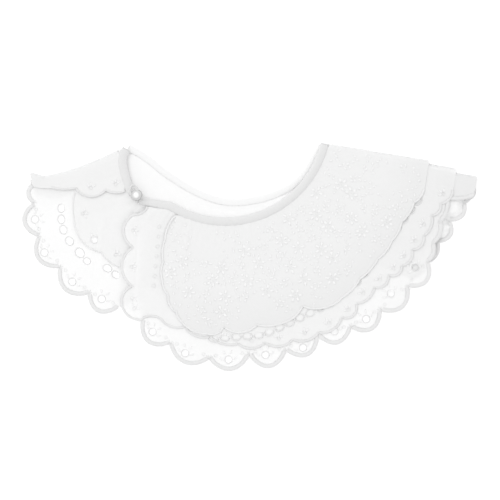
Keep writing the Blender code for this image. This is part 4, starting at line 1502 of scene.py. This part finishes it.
def spray_tree(name, shape, material):
    """Eyelet rims or padded leaves on points, sized and turned by the points' own attributes."""
    tree, inlet, outlet = geometry_tree(name, (("Thickness", "NodeSocketFloat"),))
    if shape == "rim":
        loop = add_node(tree, "GeometryNodeCurvePrimitiveCircle", {"Resolution": 14, "Radius": 1.0})
        thread = add_node(tree, "GeometryNodeCurvePrimitiveCircle", {"Resolution": 5, "Radius": 0.13})
        body = add_node(
            tree,
            "GeometryNodeCurveToMesh",
            {"Curve": loop.outputs["Curve"], "Profile Curve": thread.outputs["Curve"]},
        ).outputs[0]
    else:
        grain = add_node(tree, "GeometryNodeMeshUVSphere", {"Segments": 8, "Rings": 5, "Radius": 0.5})
        body = grain.outputs[0]
    spread = add_node(tree, "GeometryNodeInputNamedAttribute", {"Name": "spread"}, data_type="FLOAT_VECTOR")
    turn = add_node(tree, "GeometryNodeInputNamedAttribute", {"Name": "turn"}, data_type="FLOAT")
    angle = add_node(tree, "ShaderNodeCombineXYZ", {"Z": turn.outputs["Attribute"]})
    turned = add_node(tree, "FunctionNodeEulerToRotation", {"Euler": angle.outputs[0]})
    parts = add_node(tree, "ShaderNodeSeparateXYZ", {"Vector": spread.outputs["Attribute"]})
    scale = add_node(
        tree,
        "ShaderNodeCombineXYZ",
        {"X": parts.outputs["X"], "Y": parts.outputs["Y"], "Z": inlet.outputs["Thickness"]},
    )
    sprayed = add_node(
        tree,
        "GeometryNodeInstanceOnPoints",
        {
            "Points": inlet.outputs["Geometry"],
            "Instance": body,
            "Rotation": turned.outputs[0],
            "Scale": scale.outputs[0],
        },
    )
    finish_tree(tree, sprayed.outputs[0], outlet, material)
    return tree


def baked(obj, tree, values):
    """Runs a tree on an object with its inputs set, and leaves the result as the object's plain mesh."""
    modifier = obj.modifiers.new(tree.name, "NODES")
    modifier.node_group = tree
    for item in tree.interface.items_tree:
        if item.in_out == "INPUT" and item.name in values:
            modifier[item.identifier] = values[item.name]
    obj.update_tag()
    bpy.context.view_layer.update()
    graph = bpy.context.evaluated_depsgraph_get()
    mesh = bpy.data.meshes.new_from_object(obj.evaluated_get(graph))
    obj.modifiers.remove(modifier)
    old = obj.data
    obj.data = mesh
    bpy.data.meshes.remove(old)
    mesh.name = obj.name
    if not mesh.polygons:
        raise RuntimeError(f"{obj.name} came out empty")
    return obj


def line_object(name, line):
    """A line of points in millimetres as an object of edges."""
    edges = [(i, i + 1) for i in range(len(line) - 1)]
    return make_object(name, line, [], None, edges)


def spot_object(name, spots):
    """Points with their spread and turn: a spot is its point, its two sizes in millimetres and its turn."""
    obj = make_object(name, [spot[0] for spot in spots], [], None)
    spread = obj.data.attributes.new("spread", "FLOAT_VECTOR", "POINT")
    spread.data.foreach_set("vector", [v for spot in spots for v in (spot[1] * MM, spot[2] * MM, 0.0)])
    turn = obj.data.attributes.new("turn", "FLOAT", "POINT")
    turn.data.foreach_set("value", [math.radians(spot[3]) for spot in spots])
    return obj


def materials():
    """The collar's materials by their short names."""
    tones = bpy.context.scene.collar_colours
    return {
        "voile": woven_cotton(
            "Cotton voile, plain woven and bleached",
            tuple(tones.voile),
            thread=0.6 * MM,
            bias=8.0,
            alpha=tones.tier_cover,
            # painted shade towards the right shoulder
            shoulder=PAINTED_SHADE_TONE,
        ),
        "top_cotton": woven_cotton(
            "Cotton batiste, plain woven and bleached",
            tuple(tones.top_cotton),
            thread=0.5 * MM,
            bias=4.0,
            alpha=tones.top_cover,
            # painted shade near the top tier's hem
            hem=PAINTED_SHADE_TONE,
        ),
        "doubled_voile_shade": woven_cotton(
            "Cotton voile, doubled at the shoulder",
            tuple(tones.doubled),
            thread=0.6 * MM,
            bias=8.0,
        ),
        "back_voile": woven_cotton(
            "Cotton voile, folded layers",
            tuple(tones.voile),
            thread=0.6 * MM,
            bias=-12.0,
            alpha=tones.back_cover,
        ),
        "embroidery": embroidery_cotton("Embroidery cotton, satin stitched", tuple(tones.embroidery), 0.5),
        "lace": embroidery_cotton("Embroidery cotton, flower lace", tuple(tones.lace_thread), 0.55),
        # Painted shade: a darker copy of the back tape's cotton.
        "front_tape_painted_shade": woven_cotton("Cotton bias tape, front", tuple(tones.front_tape_painted_shade), 0.5 * MM, 45.0),
        "back_tape": woven_cotton("Cotton bias tape, back", tuple(tones.back_tape), 0.5 * MM, 45.0),
        "pale_thread": embroidery_cotton("Embroidery cotton, fine", tuple(tones.pale_thread), 0.55),
        "seam_thread": embroidery_cotton("Sewing cotton", tuple(tones.seam_thread), 0.55),
    }


def turned_under(tier):
    """The strip of a tier that turns under at its shoulder fold: its points and faces."""
    fold, inset = shoulder(tier)
    outline, (first, last) = pattern().tiers[tier]
    reach = RIGHT_BACK_REACH if fold is RIGHT_FOLD else LEFT_BACK_REACH
    step = 1.0 / max(2, round(abs(last - first) / FOLD_STEP))
    rows = ([], [], [], [])
    for i in range(round(1.0 / step) + 1):
        along = first + (last - first) * i * step
        wide = FOLD_UNDER
        if tier.endswith("base"):
            wide += TAIL_UNDER * float(smoothstep(along, reach + 1.0, reach + 5.0))
        while wide > FOLD_UNDER and not inside(outline, fold_point(fold, along, inset + wide + 0.5)):
            wide = max(FOLD_UNDER, wide - 0.5)
        depths = (0.0, 0.5, 0.5 + 0.5 * (wide - 0.5), wide)
        heights = (FOLD_FOOT, 0.5 * (FOLD_FOOT + FOLD_UNDER_HEIGHT), FOLD_UNDER_HEIGHT, FOLD_UNDER_HEIGHT)
        for row, depth, height in zip(rows, depths, heights):
            row.append((*fold_point(fold, along, inset + depth), height))
    count = len(rows[0])
    faces = []
    for i in range(count - 1):
        for row in range(len(rows) - 1):
            a = row * count + i
            faces.append((a, a + 1, a + 1 + count, a + count))
    return [point for row in rows for point in row], faces


def cloth_piece(name, tier, outline, holes, material):
    """A tier's cloth, cut to its outline with its eyelets open."""
    extra = list(lattice(outline, holes, GRID, NECK_GRID))
    if tier != "back":
        fold, inset = shoulder(tier)
        first, last = pattern().tiers[tier][1]
        for depth in FOLD_ROWS:
            extra += fold_line(fold, first + 1.0, last - 1.0, inset + depth)
    flat, faces = flat_triangles(outline, holes, extra)
    points = numpy.column_stack((flat, pattern().height(tier, flat)))
    faces = [tuple(face) for face in faces]
    if tier != "back":
        under, strip = turned_under(tier)
        faces += [tuple(i + len(points) for i in face) for face in strip]
        points = numpy.concatenate((points, under))
    made = make_object(name, points, faces, material)
    # Painted shade: the end of the tier near its shoulder fold takes the darker opaque voile.
    if tier in SHADED_TAILS:
        fold = shoulder(tier)[0]
        from_along, to_depth = SHADED_TAILS[tier]
        made.data.materials.append(materials()["doubled_voile_shade"])
        for face in made.data.polygons:
            spot = numpy.array(face.center[:2]) / MM + numpy.array(BOX_CENTRE)
            if fold_along(fold, spot) > from_along and fold_depth(fold, spot) < to_depth:
                face.material_index = 1
    return made


class COLLAR_OT_back_half(bpy.types.Operator):
    """Lays the back half, folded under the front: plain at the neck, with its own scalloped hem."""

    bl_idname = "collar.back_half"
    bl_label = "Back half"

    def execute(self, context):
        outline = pattern().back
        piece = cloth_piece("back_half_cloth", "back", outline, [], materials()["back_voile"])
        keep(piece, "cotton_voile", "back_half")
        return {"FINISHED"}


class COLLAR_OT_tiers(bpy.types.Operator):
    """Cuts and lays the six visible parts of the three voile tiers."""

    bl_idname = "collar.tiers"
    bl_label = "Voile tiers"

    def execute(self, context):
        for tier, node in TIER_NODES.items():
            outline, (first, last) = pattern().tiers[tier]
            holes, _ = tier_lace(tier, context.scene.collar_sizes)
            cloth = "top_cotton" if tier.endswith("top") else "voile"
            cut = [hole for hole in holes if hole[2] > OPEN_EYELET]
            piece = cloth_piece(tier + "_cloth", tier, outline, cut, materials()[cloth])
            keep(piece, "cotton_voile", node)
        return {"FINISHED"}


class COLLAR_OT_borders(bpy.types.Operator):
    """Sews the satin-stitched scalloped edges round the hems and the open fronts."""

    bl_idname = "collar.borders"
    bl_label = "Satin borders"

    def border(self, name, tier, line, width, tree, sizes):
        """One edge: satin stitches side by side, mostly outside the cloth's edge."""
        z = pattern().height(tier, line, THREAD_RISE)
        points = [(x, y, float(h)) for (x, y), h in zip(line, z)]
        rail = line_object(name, resampled(points, CURVE_STEP))
        values = {
            "Pitch": sizes.stitch_pitch,
            "Along": sizes.thread * STITCH_OVERLAP,
            "Across": width,
            "Thickness": STITCH_HEIGHT * MM,
            "Shift": BORDER_SHIFT,
            "Seed": 3,
        }
        return baked(rail, tree, values)

    def execute(self, context):
        sizes = context.scene.collar_sizes
        tree = stitch_tree("Satin stitches along an edge", materials()["embroidery"])
        pale = stitch_tree("Pale stitches along an edge", materials()["pale_thread"])
        widths = {"base": sizes.base_border, "middle": sizes.middle_border, "top": sizes.top_border}
        for tier in TIER_NODES:
            hem, front = TIER_HEMS[tier]
            line = scalloped(hem[UNSEWN.get(tier, 0):], 1.0)
            if front:
                line = scalloped(front, 1.0)[:-1] + line
            width = sizes.inner_border if tier == "left_middle" else widths[tier.split("_")[1]]
            sewn = pale if tier in ("left_middle", "front_top") else tree
            piece = self.border(tier + "_border", tier, line, width, sewn, sizes)
            keep(piece, "cotton_thread")
        line = scalloped(BACK_HEM, -1.0)[::-1]
        piece = self.border("back_border", "back", line, sizes.base_border, tree, sizes)
        keep(piece, "cotton_thread")
        return {"FINISHED"}


class COLLAR_OT_embroidery(bpy.types.Operator):
    """Works the overcast rims of the eyelets and the padded leaves."""

    bl_idname = "collar.embroidery"
    bl_label = "Eyelets and leaves"

    def execute(self, context):
        sizes = context.scene.collar_sizes
        shades = materials()
        for thread in ("embroidery", "lace"):
            rims = spray_tree("Eyelet rims, " + thread, "rim", shades[thread])
            padding = spray_tree("Padded leaves, " + thread, "leaf", shades["lace"])
            tiers = [tier for tier in TIER_NODES if (tier == "front_top") == (thread == "lace")]
            for tier in tiers:
                holes, leaves = tier_lace(tier, sizes)
                if holes:
                    spots = [self.rim(hole) for hole in holes]
                    self.spray(tier + "_rims", tier, spots, rims, RIM_HEIGHT * MM)
                if leaves:
                    spots = [((x, y), length, width, turn) for x, y, length, width, turn in leaves]
                    thick = LACE_LEAF_HEIGHT if thread == "lace" else LEAF_HEIGHT
                    self.spray(tier + "_leaves", tier, spots, padding, thick * MM)
        return {"FINISHED"}

    def rim(self, hole):
        """A rim whose thread lies just outside its eyelet."""
        x, y, length, width, turn, rim = hole
        reach = [0.5 * side * RIM_OVERLAP + RIM_REACH * rim for side in (length, width)]
        return ((x, y), *reach, turn)

    def spray(self, name, tier, spots, tree, thickness):
        z = pattern().height(tier, [spot[0] for spot in spots], THREAD_RISE)
        spots = [((*spot[0], float(h)), *spot[1:]) for spot, h in zip(spots, z)]
        piece = baked(spot_object(name, spots), tree, {"Thickness": thickness})
        keep(piece, "cotton_thread")


class COLLAR_OT_neck_tape(bpy.types.Operator):
    """Binds the neck with folded bias tape and its row of machine stitches."""

    bl_idname = "collar.neck_tape"
    bl_label = "Neck tape"

    def tape(self, name, line, width, bottom, thickness, material):
        """A folded tape along a line: flat under, softly domed, with a fine pucker and rounded ends."""
        line = resampled(line, TAPE_STEP)
        half = width / 2.0
        section = [(-1.0, 0.02), (-1.0, TAPE_SIDE)]
        for i in range(1, TAPE_SECTION_STEPS):
            turn = math.pi * i / TAPE_SECTION_STEPS
            section.append((-math.cos(turn), TAPE_SHOULDER + (1.0 - TAPE_SHOULDER) * math.sin(turn)))
        section += [(1.0, TAPE_SIDE), (1.0, 0.02)]
        points = []
        last = len(line) - 1
        for i, point in enumerate(line):
            right = normal_at(line, i)
            end = min(i, last - i)
            taper = math.sqrt(min(1.0, (end + 0.35) / 1.6))
            pucker = 1.0 + 0.035 * math.sin(i * 1.9) + 0.02 * math.sin(i * 0.73)
            for u, v in section:
                high = v * thickness * TAPE_FILL * (0.75 + 0.25 * taper)
                high *= pucker if v > PUCKER_FROM else 1.0
                across = u * half * (0.80 + 0.20 * taper)
                x = point[0] + right[0] * across
                y = point[1] + right[1] * across
                points.append((x, y, bottom + min(high, thickness)))
        count = len(section)
        faces = [tuple(range(count)), tuple(last * count + i for i in reversed(range(count)))]
        for i in range(last):
            for j in range(count):
                k = (j + 1) % count
                a = i * count
                faces.append((a + j, a + k, a + count + k, a + count + j))
        faces = [face[::-1] for face in faces]
        return make_object(name, points, faces, material)

    def stitches(self, name, line, width, top, tree, sizes, side):
        """Machine stitches near one edge of the tape."""
        row = offset_line(resampled(line, TAPE_STEP), side * (width / 2.0 - SEAM_INSET))
        rail = line_object(name, [(x, y, top) for x, y in row])
        values = {
            "Pitch": sizes.seam_stitch * SEAM_GAP,
            "Along": sizes.seam_stitch,
            "Across": SEAM_WIDTH * MM,
            "Thickness": SEAM_HEIGHT * MM,
            "Shift": 0.0,
            "Seed": 5,
        }
        piece = baked(rail, tree, values)
        keep(piece, "cotton_thread")

    def execute(self, context):
        sizes = context.scene.collar_sizes
        shades = materials()
        tree = stitch_tree("Machine stitches along a tape", shades["seam_thread"])
        base = BACK_THICKNESS + 2.0 * STACK_GAP
        front = (BINDING_WIDTH, base, FRONT_BINDING_THICKNESS, "front_tape_painted_shade")
        back = (BACK_BINDING_WIDTH, BACK_TAPE_BOTTOM, BACK_BINDING_THICKNESS, "back_tape")
        plans = (
            ("front_neck", front_neck(), front, 1.0),
            ("left_neck", smoothed(list(LEFT_NECK), 2), front, -1.0),
            ("back_neck", smoothed(list(BACK_NECK), 2), back, 1.0),
        )
        for name, line, (width, bottom, thickness, shade), side in plans:
            piece = self.tape(name + "_tape", line, width, bottom, thickness, shades[shade])
            keep(piece, "cotton_tape", name + "_binding")
            top = bottom + SEAM_LEVEL * thickness * TAPE_FILL
            self.stitches(name + "_stitches", line, width, top, tree, sizes, side)
        return {"FINISHED"}


class COLLAR_OT_button(bpy.types.Operator):
    """Sews on the pearl button, with its thread shank, and the twisted loop round it."""

    bl_idname = "collar.button"
    bl_label = "Pearl button and loop"

    def lathe(self, name, centre, rows, sides, material):
        """A closed round piece from rows of radius and height."""
        points = [(centre[0], centre[1], rows[0][1])]
        for radius, height in rows[1:-1]:
            for j in range(sides):
                turn = math.tau * j / sides
                x = centre[0] + radius * math.cos(turn)
                y = centre[1] + radius * math.sin(turn)
                points.append((x, y, height))
        points.append((centre[0], centre[1], rows[-1][1]))
        rings = len(rows) - 2
        last = len(points) - 1
        faces = []
        for j in range(sides):
            k = (j + 1) % sides
            faces.append((0, 1 + k, 1 + j))
            for i in range(rings - 1):
                a = 1 + i * sides
                faces.append((a + j, a + k, a + sides + k, a + sides + j))
            a = 1 + (rings - 1) * sides
            faces.append((a + j, a + k, last))
        return make_object(name, points, faces, material)

    def twisted(self, name, path, height, strand, twist, material):
        """A two-ply closed cord along a closed path."""
        points = []
        faces = []
        count = len(path)
        sides = PLY_SIDES
        for ply in range(2):
            start = len(points)
            for i in range(count):
                a = path[i - 1]
                b = path[(i + 1) % count]
                length = math.dist(a, b)
                right = ((b[1] - a[1]) / length, -(b[0] - a[0]) / length)
                phase = math.tau * twist * i / count + math.pi * ply
                across = strand * PLY_REACH * math.cos(phase)
                rise = strand * PLY_REACH * math.sin(phase)
                for j in range(sides):
                    turn = math.tau * j / sides
                    u = across + strand * math.cos(turn)
                    z = height + rise + strand * math.sin(turn)
                    points.append((path[i][0] + right[0] * u, path[i][1] + right[1] * u, z))
            for i in range(count):
                a = start + i * sides
                b = start + ((i + 1) % count) * sides
                for j in range(sides):
                    k = (j + 1) % sides
                    faces.append((a + j, b + j, b + k, a + k))
        return make_object(name, points, faces, material)

    def execute(self, context):
        sizes = context.scene.collar_sizes
        tones = context.scene.collar_colours
        radius = sizes.pearl_radius / MM
        seat = BACK_THICKNESS + 2.0 * STACK_GAP + FRONT_BINDING_THICKNESS + BUTTON_LIFT
        middle = seat + radius
        rows = [(0.0, middle - radius * math.cos(BUTTON_FOOT_ANGLE))]
        sweep = math.pi - BUTTON_FOOT_ANGLE - BUTTON_TOP_ANGLE
        for i in range(BUTTON_ROWS + 1):
            angle = BUTTON_FOOT_ANGLE + sweep * i / BUTTON_ROWS
            rows.append((radius * math.sin(angle), middle - radius * math.cos(angle)))
        rows.append((0.0, middle + radius))
        low = seat * MM
        high = (middle + radius) * MM
        shade = nacre("Pearl button, nacre with painted highlight and shade", tuple(tones.pearl), tuple(tones.pearl_painted_shade), low, high)
        pearl = self.lathe("pearl_ball", BUTTON_CENTRE, rows, BUTTON_SIDES, shade)
        keep(pearl, "pearl", "pearl_button")
        wraps = [(0.0, seat - 0.5)]
        for i in range(SHANK_TURNS):
            turn = seat + SHANK_PITCH * i
            wraps += [(1.15, turn - 0.45), (1.35, turn - 0.28), (1.15, turn - 0.14)]
        wraps.append((0.0, seat + 0.55))
        thread = materials()["seam_thread"]
        shank = self.lathe("pearl_shank", BUTTON_CENTRE, wraps, SHANK_SIDES, thread)
        keep(shank, "cotton_thread")
        path = []
        for i in range(LOOP_STEPS):
            turn = math.tau * i / LOOP_STEPS
            tail = (LOOP_TAIL - LOOP_RADIUS) * max(0.0, math.cos(turn)) ** LOOP_TAPER
            x = BUTTON_CENTRE[0] + (LOOP_RADIUS + tail) * math.cos(turn + LOOP_TURN)
            y = BUTTON_CENTRE[1] + (LOOP_RADIUS + tail) * math.sin(turn + LOOP_TURN)
            path.append((x, y))
        loop = self.twisted("button_loop_cord", path, seat + LOOP_RISE, LOOP_STRAND, LOOP_TWISTS, thread)
        keep(loop, "cotton_thread", "button_loop")
        return {"FINISHED"}


class COLLAR_OT_stage(bpy.types.Operator):
    """Sets the plain floor, the soft studio light and the camera straight above."""

    bl_idname = "collar.stage"
    bl_label = "Stage"

    def execute(self, context):
        scene = context.scene
        stage = scene.collar_stage
        constants = {
            "Base Color": (*scene.collar_colours.floor, 1.0),
            "Specular IOR Level": 0.0,
            "Emission Color": (1.0, 1.0, 1.0, 1.0),
            "Emission Strength": stage.glow,
        }
        made, tree, shader, place = new_material("White acrylic light table", constants)
        haze = add_node(tree, "ShaderNodeTexNoise", {"Vector": place, "Scale": 9.0})
        tree.links.new(ranged(tree, haze.outputs["Fac"], 0.86, 0.94), shader.inputs["Roughness"])
        half = FLOOR_HALF
        corners = [(-half, -half, 0.0), (half, -half, 0.0), (half, half, 0.0), (-half, half, 0.0)]
        floor = make_object("floor", corners, [(0, 1, 2, 3)], made)

        world = bpy.data.worlds.new("Soft studio")
        world.use_nodes = True
        backdrop = world.node_tree.nodes["Background"]
        backdrop.inputs["Color"].default_value = (1.0, 1.0, 1.0, 1.0)
        backdrop.inputs["Strength"].default_value = stage.sky
        scene.world = world

        lamp = bpy.data.lights.new("Soft box", "AREA")
        lamp.shape = "DISK"
        lamp.size = stage.lamp_size
        lamp.energy = stage.lamp
        box = bpy.data.objects.new("Soft box", lamp)
        box.location = LAMP_PLACE
        box.rotation_euler = (-box.location).to_track_quat("-Z", "Y").to_euler()
        scene.collection.objects.link(box)

        camera = bpy.data.cameras.new("Camera")
        camera.lens = CAMERA_LENS
        camera.sensor_width = CAMERA_SENSOR
        seen = bpy.data.objects.new("Camera", camera)
        seen.location = CAMERA_PLACE
        scene.collection.objects.link(seen)
        scene.camera = seen
        scene.view_settings.view_transform = "Standard"
        scene.view_settings.look = "None"
        return {"FINISHED"}


class COLLAR_PT_panel(bpy.types.Panel):
    """The collar's sizes, colours and making steps."""

    bl_label = "Lace collar"
    bl_space_type = "VIEW_3D"
    bl_region_type = "UI"
    bl_category = "Collar"

    def draw(self, context):
        for group in (context.scene.collar_sizes, context.scene.collar_colours, context.scene.collar_stage):
            box = self.layout.box()
            for name in group.__annotations__:
                box.prop(group, name)
        for operator in OPERATORS:
            self.layout.operator(operator.bl_idname)


OPERATORS = (
    COLLAR_OT_back_half,
    COLLAR_OT_tiers,
    COLLAR_OT_borders,
    COLLAR_OT_embroidery,
    COLLAR_OT_neck_tape,
    COLLAR_OT_button,
    COLLAR_OT_stage,
)
GROUPS = {"collar_sizes": CollarSizes, "collar_colours": CollarColours, "collar_stage": CollarStage}


def register():
    for group in GROUPS.values():
        bpy.utils.register_class(group)
    for name, group in GROUPS.items():
        setattr(bpy.types.Scene, name, bpy.props.PointerProperty(type=group))
    for made in OPERATORS + (COLLAR_PT_panel,):
        bpy.utils.register_class(made)


def unregister():
    for made in (COLLAR_PT_panel,) + OPERATORS[::-1]:
        bpy.utils.unregister_class(made)
    for name in GROUPS:
        delattr(bpy.types.Scene, name)
    for group in GROUPS.values():
        bpy.utils.unregister_class(group)


def main():
    """Makes the collar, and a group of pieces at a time."""
    register()
    bpy.ops.collar.back_half()
    bpy.ops.collar.tiers()
    bpy.ops.collar.borders()
    bpy.ops.collar.embroidery()
    bpy.ops.collar.neck_tape()
    bpy.ops.collar.button()
    bpy.ops.collar.stage()


if __name__ == "__main__":
    main()
